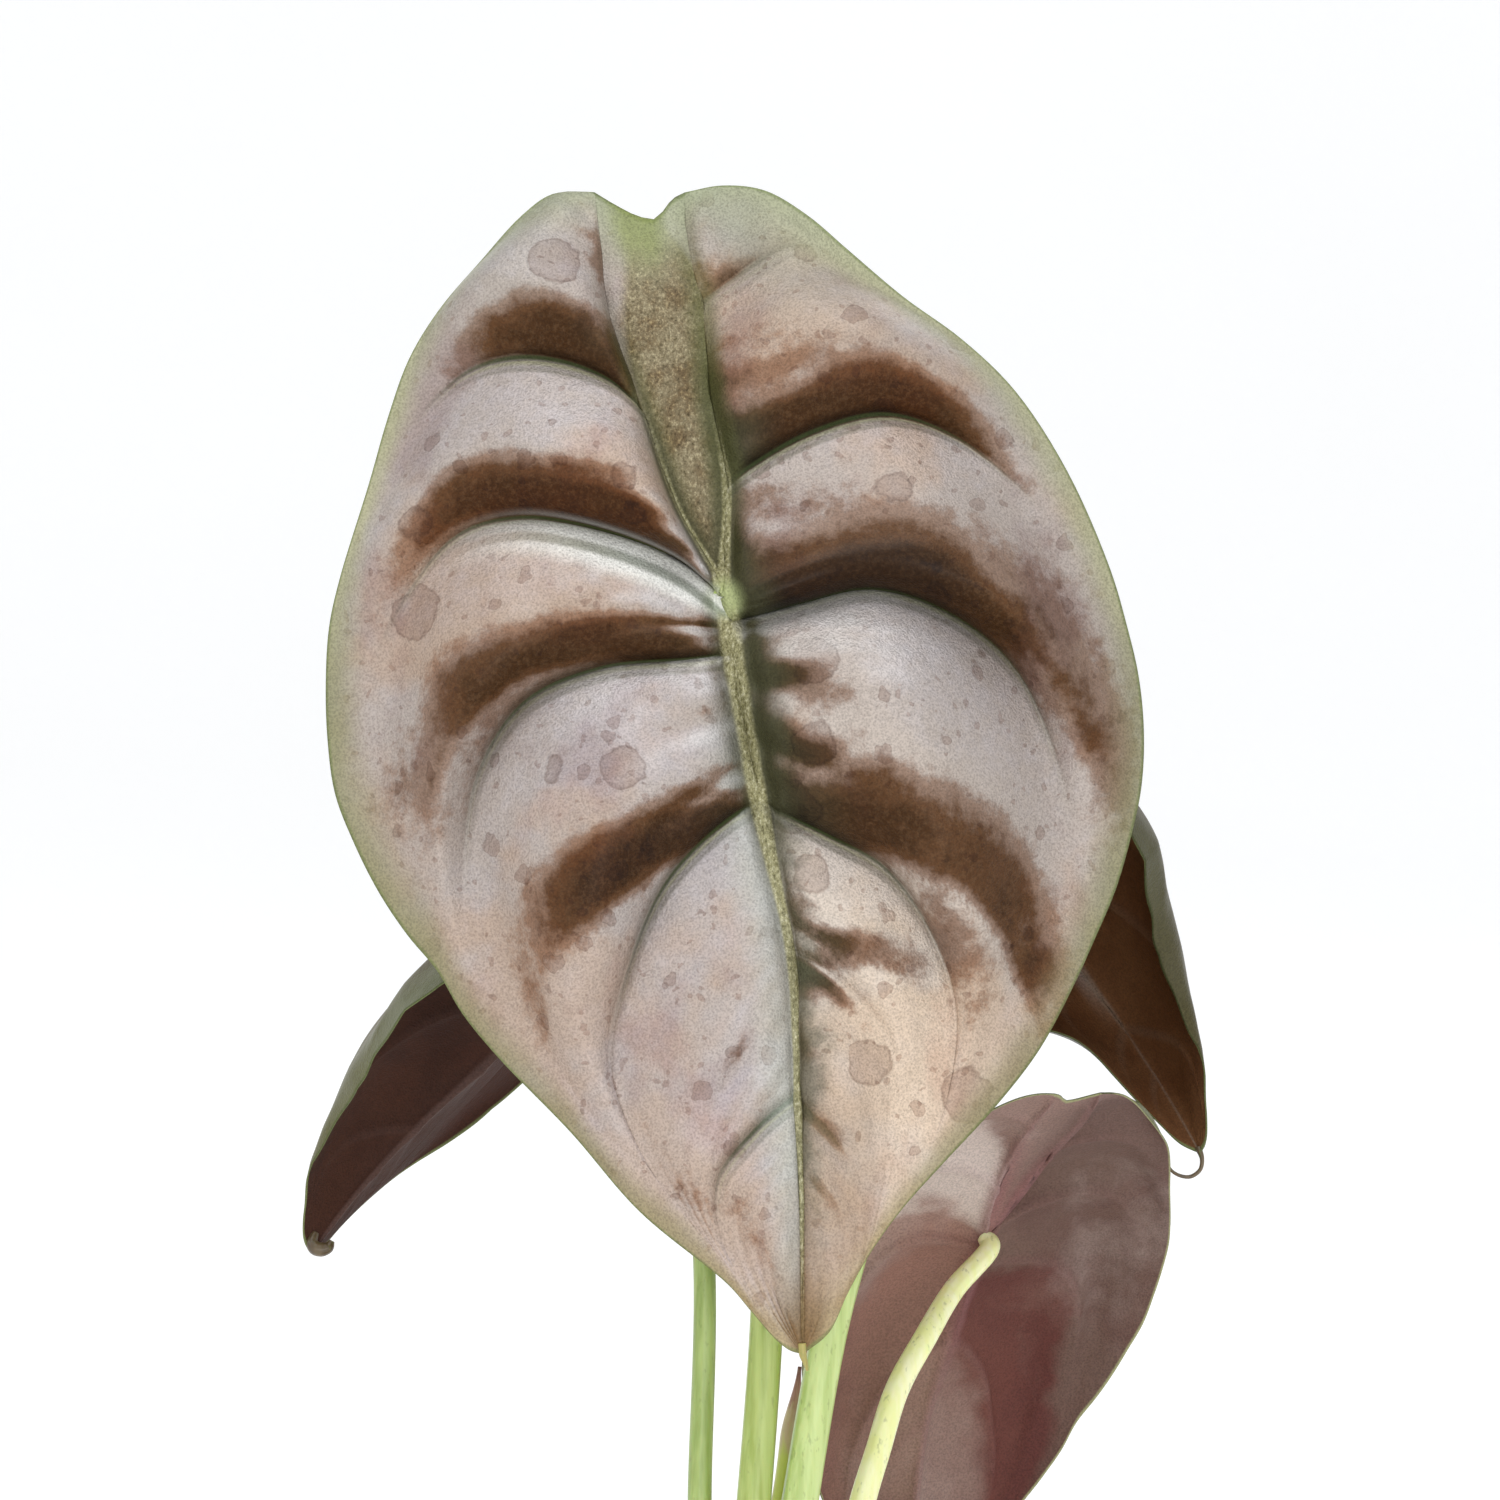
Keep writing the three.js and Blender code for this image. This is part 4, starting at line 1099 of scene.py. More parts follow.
        # Painted shade in the groove beside the midrib
        upward = s.rest(s.times(s.fade(station, 23.0, 29.0), 0.55))
        upward = s.times(upward, s.plus(s.times(s.fade(station, 3.0, 9.0), 0.8), 0.2))
        groove = shared.stroke(s, spine, 0.9, s.plus(s.times(side, 2.4), 2.0))
        colour = s.tint(colour, "45452B", groove, upward, 0.78)
        ridge = s.times(shared.stroke(s, spine, 0.5, 0.95), s.fade(station, 6.0, 11.0), 0.9)
        rope = s.ramp(fibre, [(0.34, "6A6540"), (0.5, "9C976E"), (0.66, "CDC8A4")])
        colour = s.mix(ridge, colour, rope)
        colour = s.tint(colour, "B4BE86", shared.stroke(s, hub, 1.2, 5.5), 0.85)
        # Painted highlights: white on the up-facing swells round the joint, and a painted reflection along one vein,
        # white with a grey-green stripe
        gleam = s.times(
            s.fade(light_slope, 0.06, 0.24), s.wane(hub, 8.0, 62.0), s.fade(cloud, 0.36, 0.6), s.rest(web),
            s.rest(brown, clamp=True),
        )
        colour = s.tint(colour, "ECEAE6", gleam, 0.65)
        stripe = s.math("ABSOLUTE", s.minus(vein, 4.2))
        shine = s.times(s.fade(vein, 0.6, 1.4), s.wane(vein, 5.5, 9.5))
        grey = s.wane(stripe, 0.4, 1.5)
        shine = s.times(
            shine, s.wane(u, 0.22, 0.62), s.fade(station, 11.5, 12.2), s.wane(station, 14.4, 16.2),
            s.math("LESS_THAN", side, 0.5),
        )
        glint = s.mix(s.times(grey, 0.85), hexed("F3F4EE"), hexed("7E8878"))
        colour = s.mix(s.times(shine, 0.8), colour, glint)
        # The tip, the margin and the notch
        colour = s.tint(colour, "8A6A48", s.fade(station, 33.2, 34.9), 0.75)
        wavy = s.plus(edge, s.swing(s.noise(90.0, 3.0), 6.0))
        rim = shared.stroke(s, wavy, 0.0, self.rim)
        bare = s.rest(s.times(brown, 0.6))
        colour = s.mix(s.times(rim, bare, 0.85), colour, s.ramp(s.math("DIVIDE", station, TIP_STATION), MARGIN_COLOURS))
        colour = s.tint(colour, "6F7E45", shared.stroke(s, edge, 0.4, 1.5), 0.6)
        notch = s.times(web, s.wane(wavy, 4.0, 13.0), s.fade(side, 0.02, 0.3), s.wane(side, 0.55, 0.85))
        colour = s.tint(colour, "7F8A40", notch, 0.55)
        # Painted shade: the whole upper side is multiplied darker on the blades that hang in shade
        return s.tint(colour, self.painted_shade, 1.0, blend="MULTIPLY")

    def lower(self, s: Sketch, shared: Effects) -> Socket:
        """Colour of the underside.

        Args:
            s: The sketch of the tree.
            shared: The shared effects.

        Returns:
            The colour.
        """
        cloud = s.noise(30.0, 5.0, 0.65)
        colour = s.mix(s.fade(cloud, 0.38, 0.62), hexed(self.under), hexed(self.under_light))
        colour = s.tint(colour, self.blotch, s.fade(s.noise(14.0, 3.0), 0.5, 0.66))
        station, right, u, web, rib, hub = map(s.attribute, ("station", "side", "u", "web", "rib", "hub"))
        if self.zones:
            station = s.plus(station, s.swing(s.noise(38.0, 4.0, 0.6), 7.0))
            left_zone, right_zone = (
                s.ramp(s.math("DIVIDE", station, TIP_STATION), stops) for stops in self.zones
            )
            zone = s.mix(right, left_zone, right_zone)
            colour = s.mix(s.plus(s.times(s.fade(cloud, 0.35, 0.6), 0.3), 0.65), colour, zone)
            # Painted highlight: a pale patch on the right half, up by the joint
            patch = s.times(
                s.fade(station, 5.0, 7.0), s.wane(station, 11.0, 13.0), right, s.wane(u, 0.5, 0.8), s.rest(web),
            )
            # Painted highlight: pale sheen patches strewn by noise
            sheen_patches = s.times(s.fade(s.noise(24.0, 5.0, 0.6, (1.0, 1.0, 0.5)), 0.46, 0.66), 0.4)
            colour = s.tint(colour, "B9A8A0", sheen_patches)
            colour = s.tint(colour, "D8C9C0", patch, 0.85)
            colour = s.tint(colour, "8E565A", shared.stroke(s, rib, 0.0, 8.0), s.wane(hub, 18.0, 60.0), 0.5)
        # Painted highlight along the midrib of the underside, as strong as the sheen share
        sheen = s.times(
            shared.stroke(s, rib, 1.0, 9.0), right, s.fade(station, 12.0, 20.0), s.wane(station, 25.0, 31.0),
        )
        colour = s.tint(colour, "C8C0BA", sheen, self.sheen)
        side = shared.stroke(s, s.attribute("vein"), 0.4, 3.2)
        inward = s.wane(u, 0.1, 0.8)
        colour = s.tint(colour, self.under_rib, side, inward, self.vein_share)
        middle = shared.stroke(s, s.attribute("spine"), 0.6, 1.9)
        colour = s.tint(colour, self.under_rib, middle, self.rib_share)
        rim = shared.stroke(s, s.attribute("edge"), 0.6, 2.2)
        return s.tint(colour, self.under_edge, rim)

    def build(self, shared: Effects) -> Material:
        """Makes the material.

        Args:
            shared: The shared effects.

        Returns:
            The material.
        """
        constants = {"Coat Roughness": 0.3, "Specular IOR Level": 0.2}
        material, s, shader = new_material(self.name, constants)
        upper = s.attribute("upper")
        s.feed(shader.inputs["Metallic"], s.times(upper, 0.35))
        colour = s.mix(upper, self.lower(s, shared), self.upper(s, shared))
        grain = shared.speckle(s, 2100.0, 1.0)
        colour = s.mix(0.5, colour, s.ramp(grain, [(0.2, (0.42, 0.42, 0.42, 1)), (0.75, (1, 1, 1, 1))]), "MULTIPLY")
        gloss = s.times(s.fade(s.attribute("light_slope"), -0.2, 0.2), upper, 0.22)
        s.feed(shader.inputs["Coat Weight"], gloss)
        cloud = s.noise(60.0, 3.0)
        roughness = s.plus(s.times(cloud, 0.2), s.times(grain, 0.15))
        roughness = s.minus(s.plus(roughness, 0.5), s.times(upper, 0.24))
        height = s.plus(s.times(grain, 0.4), s.noise(300.0, 4.0, 0.65))
        finish_material(s, shader, colour, roughness, height, 0.35)
        return material


@dataclass(frozen=True)
class StalkFinish:
    """Smooth green stalk with faint streaks and flecks."""

    name: str
    base: str
    light: str
    foot: str = "8E9A55"
    flecks: float = 0.35

    def build(self, shared: Effects) -> Material:
        """Makes the material.

        Args:
            shared: The shared effects.

        Returns:
            The material.
        """
        constants = {"Coat Weight": 0.25, "Coat Roughness": 0.3, "Subsurface Weight": 0.12, "Subsurface Scale": 0.002}
        material, s, shader = new_material(self.name, constants)
        streak = s.noise(420.0, 3.0, 0.6, (1.0, 1.0, 0.06))
        colour = s.mix(s.fade(streak, 0.35, 0.68), hexed(self.base), hexed(self.light))
        spots = s.fade(s.noise(650.0, 2.0, 0.6, (1.0, 1.0, 0.5)), 0.6, 0.72)
        colour = s.tint(colour, "6E7F3C", spots, self.flecks)
        where = s.add("ShaderNodeSeparateXYZ", {0: s.place()}).outputs[2]
        low = s.wane(where, 0.112, 0.155)
        colour = s.tint(colour, self.foot, low, 0.8)
        roughness = s.plus(s.times(streak, 0.15), 0.3)
        height = s.plus(streak, s.times(shared.speckle(s, 900.0, 0.8), 0.3))
        finish_material(s, shader, colour, roughness, height, 0.15)
        return material


@dataclass(frozen=True)
class SpearFinish:
    """Rolled new leaf: green below, dull red towards its point."""

    name: str = "new leaf"

    def build(self, shared: Effects) -> Material:
        """Makes the material.

        Args:
            shared: The shared effects.

        Returns:
            The material.
        """
        material, s, shader = new_material(self.name, {"Coat Weight": 0.2, "Coat Roughness": 0.3})
        where = s.add("ShaderNodeSeparateXYZ", {0: s.place()}).outputs[2]
        streak = s.noise(520.0, 3.0, 0.6, (1.0, 1.0, 0.08))
        height = s.plus(where, s.swing(streak, 0.02))
        colour = s.ramp(
            s.times(height, 4.0),
            [(0.45, "9AA654"), (0.82, "C6D060"), (0.855, "C9B48E"), (0.885, "A8796A"), (0.91, "6B2F33")],
        )
        colour = s.tint(colour, "D2B49A", s.fade(streak, 0.5, 0.7), 0.35)
        grain = shared.speckle(s, 900.0, 0.8)
        finish_material(s, shader, colour, s.plus(s.times(grain, 0.15), 0.3), streak, 0.2)
        return material


@dataclass(frozen=True)
class BarkFinish:
    """Brown corky crown and roots."""

    name: str = "rootstock bark"

    def build(self, shared: Effects) -> Material:
        """Makes the material.

        Args:
            shared: The shared effects.

        Returns:
            The material.
        """
        material, s, shader = new_material(self.name, {})
        rings = s.noise(160.0, 5.0, 0.7, (1.0, 1.0, 2.6))
        colour = s.ramp(rings, [(0.3, "2E1F15"), (0.5, "5F4430"), (0.7, "8A6B4C")])
        grain = shared.speckle(s, 700.0, 1.0)
        finish_material(s, shader, colour, s.plus(s.times(grain, 0.2), 0.7), s.plus(rings, s.times(grain, 0.4)), 0.8)
        return material


@dataclass(frozen=True)
class SheathFinish:
    """Dry papery scale with brown fibres."""

    name: str = "dry sheath"

    def build(self, shared: Effects) -> Material:
        """Makes the material.

        Args:
            shared: The shared effects.

        Returns:
            The material.
        """
        material, s, shader = new_material(self.name, {"Sheen Weight": 0.1})
        fibre = s.noise(700.0, 4.0, 0.65, (1.0, 1.0, 0.07))
        patch = s.noise(110.0, 3.0)
        colour = s.ramp(fibre, [(0.32, "6B4E2C"), (0.5, "A58656"), (0.7, "CBB284")])
        colour = s.tint(colour, "5A3D24", s.fade(patch, 0.5, 0.68), 0.6)
        grain = shared.speckle(s, 800.0, 1.0)
        finish_material(s, shader, colour, s.plus(s.times(grain, 0.2), 0.6), fibre, 0.35)
        return material


@dataclass(frozen=True)
class SoilFinish:
    """Dark crumbly mix, or one of the things in it."""

    name: str
    dark: str
    light: str
    scale: float = 260.0
    depth: float = 0.9
    rough: float = 0.85

    def build(self, shared: Effects) -> Material:
        """Makes the material.

        Args:
            shared: The shared effects.

        Returns:
            The material.
        """
        material, s, shader = new_material(self.name, {})
        cloud = s.noise(self.scale, 5.0, 0.7)
        colour = s.mix(s.fade(cloud, 0.36, 0.66), hexed(self.dark), hexed(self.light))
        grain = shared.speckle(s, 850.0, 1.2)
        colour = s.mix(0.35, colour, s.ramp(grain, [(0.25, (0.4, 0.4, 0.4, 1)), (0.75, (1, 1, 1, 1))]), "MULTIPLY")
        height = s.plus(cloud, s.times(grain, 0.5))
        finish_material(s, shader, colour, s.plus(s.times(grain, 0.1), self.rough - 0.05), height, self.depth)
        return material


@dataclass(frozen=True)
class ClayFinish:
    """Fired clay with a chalky bloom, darker where it is damp."""

    name: str = "fired clay"

    def build(self, shared: Effects) -> Material:
        """Makes the material.

        Args:
            shared: The shared effects.

        Returns:
            The material.
        """
        material, s, shader = new_material(self.name, {"Specular IOR Level": 0.35})
        cloud = s.noise(22.0, 5.0, 0.62)
        colour = s.mix(s.fade(cloud, 0.34, 0.66), hexed("A65C3E"), hexed("C07F5F"))
        turned = s.noise(60.0, 4.0, 0.6, (0.25, 0.25, 3.0))
        colour = s.tint(colour, "8F4D35", s.fade(turned, 0.45, 0.7), 0.3)
        height = s.add("ShaderNodeSeparateXYZ", {0: s.place()}).outputs[2]
        wavy = s.plus(height, s.swing(s.noise(30.0, 4.0), 0.05))
        foot = s.wane(wavy, 0.005, 0.05)
        brim = s.fade(wavy, 0.108, 0.128)
        chalk = s.fade(s.noise(75.0, 5.0, 0.7), 0.5, 0.66)
        bloom = s.times(s.plus(s.plus(foot, s.times(brim, 0.6)), 0.12, clamp=True), chalk)
        colour = s.tint(colour, "DDC7B4", bloom, 0.6)
        grain = shared.speckle(s, 650.0, 1.2)
        specks = s.fade(s.noise(700.0, 1.0), 0.66, 0.72)
        colour = s.tint(colour, "6F3B2A", specks, 0.5)
        relief = s.plus(s.times(grain, 0.5), s.times(turned, 0.8))
        finish_material(s, shader, colour, s.plus(s.times(grain, 0.15), 0.72), relief, 0.35)
        return material


@dataclass(frozen=True)
class StageFinish:
    """Plain pale floor."""

    name: str = "pale floor"
    glow: float = 0.19

    def build(self, shared: Effects) -> Material:
        """Makes the material.

        Args:
            shared: The shared effects.

        Returns:
            The material.
        """
        constants = {"Specular IOR Level": 0.1, "Emission Color": (1, 1, 1, 1), "Emission Strength": self.glow}
        material, s, shader = new_material(self.name, constants)
        cloud = s.noise(2.0, 2.0)
        colour = s.mix(cloud, (0.86, 0.86, 0.86, 1), (0.9, 0.9, 0.9, 1))
        s.feed(shader.inputs["Base Color"], colour)
        shader.inputs["Roughness"].default_value = 0.9
        return material


class GrowthTrees:
    """The geometry trees, built once: stalks along a path and grit over a surface."""

    def __init__(self) -> None:
        """Builds both trees."""
        self.stalk = self.build_stalk()
        self.grit = self.build_grit()

    @staticmethod
    def start(name: str, inputs: dict) -> tuple:
        """Starts a tree with geometry in and out and the named inputs.

        Args:
            name: The tree's name.
            inputs: Socket types by input.

        Returns:
            The tree, a sketch of it, what it is given and what it gives.
        """
        tree = bpy.data.node_groups.new(name, "GeometryNodeTree")
        tree.interface.new_socket("Geometry", in_out="INPUT", socket_type="NodeSocketGeometry")
        tree.interface.new_socket("Geometry", in_out="OUTPUT", socket_type="NodeSocketGeometry")
        for key, kind in inputs.items():
            tree.interface.new_socket(key, in_out="INPUT", socket_type=kind)
        sketch = Sketch(tree)
        return tree, sketch, sketch.add("NodeGroupInput").outputs, sketch.add("NodeGroupOutput").inputs

    def close(self, s: Sketch, given: object, out: object, geometry: Socket) -> None:
        """Ends a tree: real faces, smooth, with their material.

        Args:
            s: The sketch of the tree.
            given: The tree's inputs.
            out: The tree's output.
            geometry: What it made.
        """
        real = s.one("GeometryNodeRealizeInstances", {"Geometry": geometry})
        smooth = s.one("GeometryNodeSetShadeSmooth", {"Geometry": real})
        dressed = s.one("GeometryNodeSetMaterial", {"Geometry": smooth, "Material": given["Material"]})
        s.feed(out[0], dressed)

    def build_stalk(self) -> Tree:
        """A round bar with shallow furrows along a path that carries its radius.

        Returns:
            The tree.
        """
        tree, s, given, out = self.start("Stalk", {
            "Sides": "NodeSocketInt", "Furrows": "NodeSocketFloat", "Depth": "NodeSocketFloat",
            "Material": "NodeSocketMaterial",
        })
        path = s.one("GeometryNodeMeshToCurve", {"Mesh": given["Geometry"]})
        ring = s.one("GeometryNodeCurvePrimitiveCircle", {"Resolution": given["Sides"], "Radius": 1.0})
        where = s.one("GeometryNodeInputPosition")
        split = s.add("ShaderNodeSeparateXYZ", {0: where})
        angle = s.math("ARCTAN2", split.outputs[1], split.outputs[0])
        wave = s.math("COSINE", s.times(angle, given["Furrows"]))
        inward = s.times(s.minus(wave, 1.0), given["Depth"])
        offset = s.one("ShaderNodeVectorMath", {0: where, "Scale": inward}, operation="SCALE")
        ring = s.one("GeometryNodeSetPosition", {"Geometry": ring, "Offset": offset})
        radius = s.one("GeometryNodeInputNamedAttribute", {"Name": "radius"}, data_type="FLOAT")
        bar = s.one(
            "GeometryNodeCurveToMesh", {"Curve": path, "Profile Curve": ring, "Scale": radius, "Fill Caps": True},
        )
        self.close(s, given, out, bar)
        return tree

    def build_grit(self) -> Tree:
        """Uneven crumbs strewn over a surface.

        Returns:
            The tree.
        """
        tree, s, given, out = self.start("Grit", {
            "Density": "NodeSocketFloat", "Seed": "NodeSocketInt", "Smallest": "NodeSocketVector",
            "Largest": "NodeSocketVector", "Fineness": "NodeSocketInt", "Uneven": "NodeSocketFloat",
            "Material": "NodeSocketMaterial",
        })
        points = s.add("GeometryNodeDistributePointsOnFaces", {
            "Mesh": given["Geometry"], "Density": given["Density"], "Seed": given["Seed"],
        })
        crumb = s.one("GeometryNodeMeshIcoSphere", {"Radius": 1.0, "Subdivisions": given["Fineness"]})
        turn = s.one(
            "FunctionNodeRandomValue", {0: (0, 0, 0), 1: (FULL_TURN,) * 3, "Seed": given["Seed"]},
            data_type="FLOAT_VECTOR",
        )
        size = s.one(
            "FunctionNodeRandomValue", {0: given["Smallest"], 1: given["Largest"], "Seed": 11},
            data_type="FLOAT_VECTOR",
        )
        strewn = s.one(
            "GeometryNodeInstanceOnPoints",
            {"Points": points.outputs["Points"], "Instance": crumb, "Rotation": turn, "Scale": size},
        )
        real = s.one("GeometryNodeRealizeInstances", {"Geometry": strewn})
        where = s.one("GeometryNodeInputPosition")
        lumps = s.add("ShaderNodeTexNoise", {"Vector": where, "Scale": 420.0, "Detail": 1.0}).outputs["Color"]
        centred = s.one("ShaderNodeVectorMath", {0: lumps, 1: (0.5, 0.5, 0.5)}, operation="SUBTRACT")
        shift = s.one("ShaderNodeVectorMath", {0: centred, "Scale": given["Uneven"]}, operation="SCALE")
        moved = s.one("GeometryNodeSetPosition", {"Geometry": real, "Offset": shift})
        self.close(s, given, out, moved)
        return tree


def grown(piece: Piece, tree: Tree, inputs: dict) -> Piece:
    """Runs a geometry tree on an object and keeps the result as its plain mesh.

    Args:
        piece: The object that carries the path or the surface.
        tree: The geometry tree.
        inputs: Values for the tree's named inputs.

    Returns:
        The same object, with its new mesh and no modifier.
    """
    modifier = piece.modifiers.new("Growth", "NODES")
    modifier.node_group = tree
    for item in tree.interface.items_tree:
        if item.item_type == "SOCKET" and item.in_out == "INPUT" and item.name in inputs:
            modifier[item.identifier] = inputs[item.name]
    return baked(piece)


@dataclass
class Blade:
    """A leaf blade with its sunken veins above and raised ribs below.

    Attributes:
        name: The piece's name.
        node: The solid that it stands for.
        pattern: The flat blade.
        pose: How it stands or hangs.
        finish: Its finish.
        thickness: Thickness in the middle.
        ribs: How far the midrib stands out below.
        margin: Half the thickness at the margin.
    """

    name: str
    node: str
    pattern: LeafPattern
    pose: "FacePose | HangPose"
    finish: BladeFinish
    thickness: float = 0.9
    ribs: float = 1.2
    margin: float = 0.16

    def build(self, shared: Effects) -> Piece:
        """Builds and dresses the blade.

        Args:
            shared: The shared effects.

        Returns:
            The piece.
        """
        f = self.pattern.fields
        middle = self.pose.place(f["x"], f["z"], f["swell"] + f["fine"])
        faces = [face[::-1] for face in self.pattern.faces] if self.pose.mirror else self.pattern.faces
        normals = normals_of(middle, faces)
        scale = getattr(self.pose, "scale", 1.0)
        edge, along = f["edge"] * scale, np.clip(1.15 - f["station"] / TIP_STATION, 0.25, 1)
        half = self.margin + (self.thickness / 2 - self.margin) * ease(0, 9, edge)
        crest = 0.25 * f["thick"] * scale * np.exp(-(f["spine"] / 0.55) ** 2)
        above = half + crest * ease(0, 6, edge) * ease(5, JOINT_STATION, f["station"])
        keel = self.ribs * np.exp(-(f["rib"] * scale / 1.7) ** 2) * along * (1 - 0.7 * f["web"])
        ridges = 0.3 * self.ribs * np.exp(-(f["vein"] * scale) ** 2) * (1 - f["u"])
        below = half + (keel + ridges) * ease(0, 8, edge)
        points = np.concatenate([middle + normals * above[:, None], middle - normals * below[:, None]])
        count = len(middle)
        rim = [[a, a + count, b + count, b] for a, b in open_edges(faces)]
        closed = faces + [[i + count for i in face[::-1]] for face in faces] + rim
        piece = mesh_object(self.name, points, closed, self.finish.build(shared))
        for key in ("u", "vein", "rib", "spine", "hub", "station", "edge", "side", "web", "light_slope", "brown", "w"):
            keep(piece, key, np.tile(f[key], 2))
        keep(piece, "upper", np.repeat([1.0, 0.0], count))
        return hand_over(piece, self.node if self.node in ("main_blade", "lower_blade") else "rear_blade", self.node)


@dataclass
class Petiole:
    """A leaf stalk, from its foot in the crown to the joint with its blade.

    Attributes:
        node: The solid that it stands for.
        route: Points from the foot upwards.
        radii: Radius by share of the length.
        pose: The pose of its blade.
        finish: Its finish.
        slot: A slot name, handed on.
        clear: How far it comes straight out of the blade.
    """

    node: str
    route: list
    radii: list
    pose: "FacePose | HangPose"
    finish: StalkFinish
    slot: str
    clear: float = 9.0

    def build(self, shared: Effects, trees: GrowthTrees) -> Piece:
        """Builds and dresses the stalk.

        Args:
            shared: The shared effects.
            trees: The geometry trees.

        Returns:
            The piece.
        """
        centre, under = joint_of(self.pose)
        curve = SmoothCurve([*self.route, centre + under * self.clear, centre + under * 0.5])
        share = np.concatenate([np.linspace(0, 0.985, 120), np.linspace(0.987, 1, 8)])
        points = curve.at(share)
        table = np.array(self.radii)
        radius = np.interp(share, table[:, 0], table[:, 1]) * 1.02
        return bar_object(f"{self.node}_stalk", points, radius, self.finish.build(shared), trees, self.slot, self.node)


def bar_object(
    name: str, points: Array, radius: Array, material: Material, trees: GrowthTrees, slot: str, *nodes: str,
) -> Piece:
    """Grows a bar along points in millimetres and hands it over.

    Args:
        name: The piece's name.
        points: The path.
        radius: Radius at each point.
        material: Its finish.
        trees: The geometry trees.
        slot: A slot name, handed on.
        nodes: The solids that it stands for.

    Returns:
        The piece.
    """
    piece = bare_object(name, points, [(i, i + 1) for i in range(len(points) - 1)], [])
    keep(piece, "radius", radius * MM)
    grown(piece, trees.stalk, {"Sides": 40, "Furrows": 9.0, "Depth": 0.012, "Material": material})
    return hand_over(piece, slot, *nodes)


@dataclass(frozen=True)
class DripTip:
    """The rolled or drawn-out end of a leaf."""

    name: str
    node: str
    path: tuple
    radii: tuple

    def build(self, material: Material, trees: GrowthTrees) -> Piece:
        """Builds and dresses the tip.

        Args:
            material: Its finish.
            trees: The geometry trees.

        Returns:
            The piece.
        """
        share = np.linspace(0, 1, 40)
        radius = np.interp(share, np.linspace(0, 1, len(self.radii)), self.radii)
        points = SmoothCurve([list(point) for point in self.path]).at(share)
        return bar_object(self.name, points, radius, material, trees, "rear_blade", self.node)


@dataclass
class NewLeaf:
    """The next leaf, still rolled up: its outer edge winds round it."""

    route: tuple = ((0, 0.5, 111), (0.3, 0.9, 122), (8, 8.5, 170), (15.6, 11, 197.6), (19, 13, 226))
    turns: float = 0.8

    def build(self, shared: Effects) -> Piece:
        """Builds and dresses the spear.

        Args:
            shared: The shared effects.

        Returns:
            The piece.
        """
        curve = SmoothCurve(list(self.route))
        share, angle = np.linspace(0, 1, 150), np.linspace(0, 2 * np.pi, 48, endpoint=False)
        centre = curve.at(share)
        ahead = np.gradient(centre, axis=0)
        ahead /= np.linalg.norm(ahead, axis=1, keepdims=True)
        side = np.cross(ahead, [0, 1, 0])
        side /= np.linalg.norm(side, axis=1, keepdims=True)
        other = np.cross(ahead, side)
        radius = 3.1 + 0.5 * ease(0, 0.2, share) - 0.8 * ease(0.2, 0.5, share)
        radius = radius - 2.35 * ease(0.86, 1, share)
        phase = (angle[None] - 2 * np.pi * self.turns * share[:, None]) % (2 * np.pi)
        lap = 1 - 0.13 * ease(0, 1, phase / (2 * np.pi)) * ease(0.15, 0.35, share)[:, None]
        r = radius[:, None] * lap
        across, over = (r * np.cos(angle))[..., None], (r * np.sin(angle))[..., None]
        ring = centre[:, None] + side[:, None] * across + other[:, None] * over
        piece = mesh_object(
            "new_leaf_spear", ring.reshape(-1, 3), tube_faces(len(share), len(angle)), SpearFinish().build(shared),
        )
        return hand_over(piece, "new_leaf", "new_leaf")


def tube_faces(rows: int, sides: int) -> list:
    """Faces of a closed tube of rings, with both ends capped."""
    walls = grid_quads(rows, sides).tolist()
    return walls + [list(range(sides))[::-1], list(range((rows - 1) * sides, rows * sides))]


def lathe(profile: list, sides: int, wobble: float = 0.0, seed: int = 1) -> tuple:
    """Turns a profile about the upright axis.

    Args:
        profile: (radius, height) from the bottom to the top; a radius of 0 closes an end.
        sides: Points in a ring.
        wobble: How uneven the wall is.
        seed: Which unevenness.

    Returns:
        Points and faces.
    """
    angle = np.linspace(0, 2 * np.pi, sides, endpoint=False)
    points: list = []
    rings: list = []
    for radius, height in profile:
        if radius < 1e-6:
            rings.append([len(points)])
            points.append((0.0, 0.0, height))
            continue
        r = radius + wobble * soft_noise(radius * np.cos(angle), radius * np.sin(angle) + height * 1.7, 7, seed)
        rings.append(list(range(len(points), len(points) + sides)))
        points.extend(zip(r * np.cos(angle), r * np.sin(angle), np.full(sides, height)))
    faces = []
    for low, high in zip(rings, rings[1:]):
        for j in range(sides):
            k = (j + 1) % sides
            corners = [low[j % len(low)], low[k % len(low)], high[k % len(high)], high[j % len(high)]]
            corners = list(dict.fromkeys(corners))
            if len(corners) > 2:
                faces.append(corners)
    return np.array(points), faces


def rounded(profile: list, reach: float, steps: int = 4) -> list:
    """Rounds the inner corners of a profile.

    Args:
        profile: Points of the profile.
        reach: How far a corner is cut back.
        steps: Points to a corner.

    Returns:
        The new profile.
    """
    points = np.array(profile, float)
    result = [points[0]]
    for before, corner, after in zip(points, points[1:], points[2:]):
        back, ahead = before - corner, after - corner
        cut = min(reach, np.linalg.norm(back) * 0.45, np.linalg.norm(ahead) * 0.45)
        start, end = corner + back / np.linalg.norm(back) * cut, corner + ahead / np.linalg.norm(ahead) * cut
        for t in np.linspace(0, 1, steps):
            result.append((1 - t) ** 2 * start + 2 * t * (1 - t) * corner + t ** 2 * end)
    result.append(points[-1])
    return [tuple(p) for p in result]


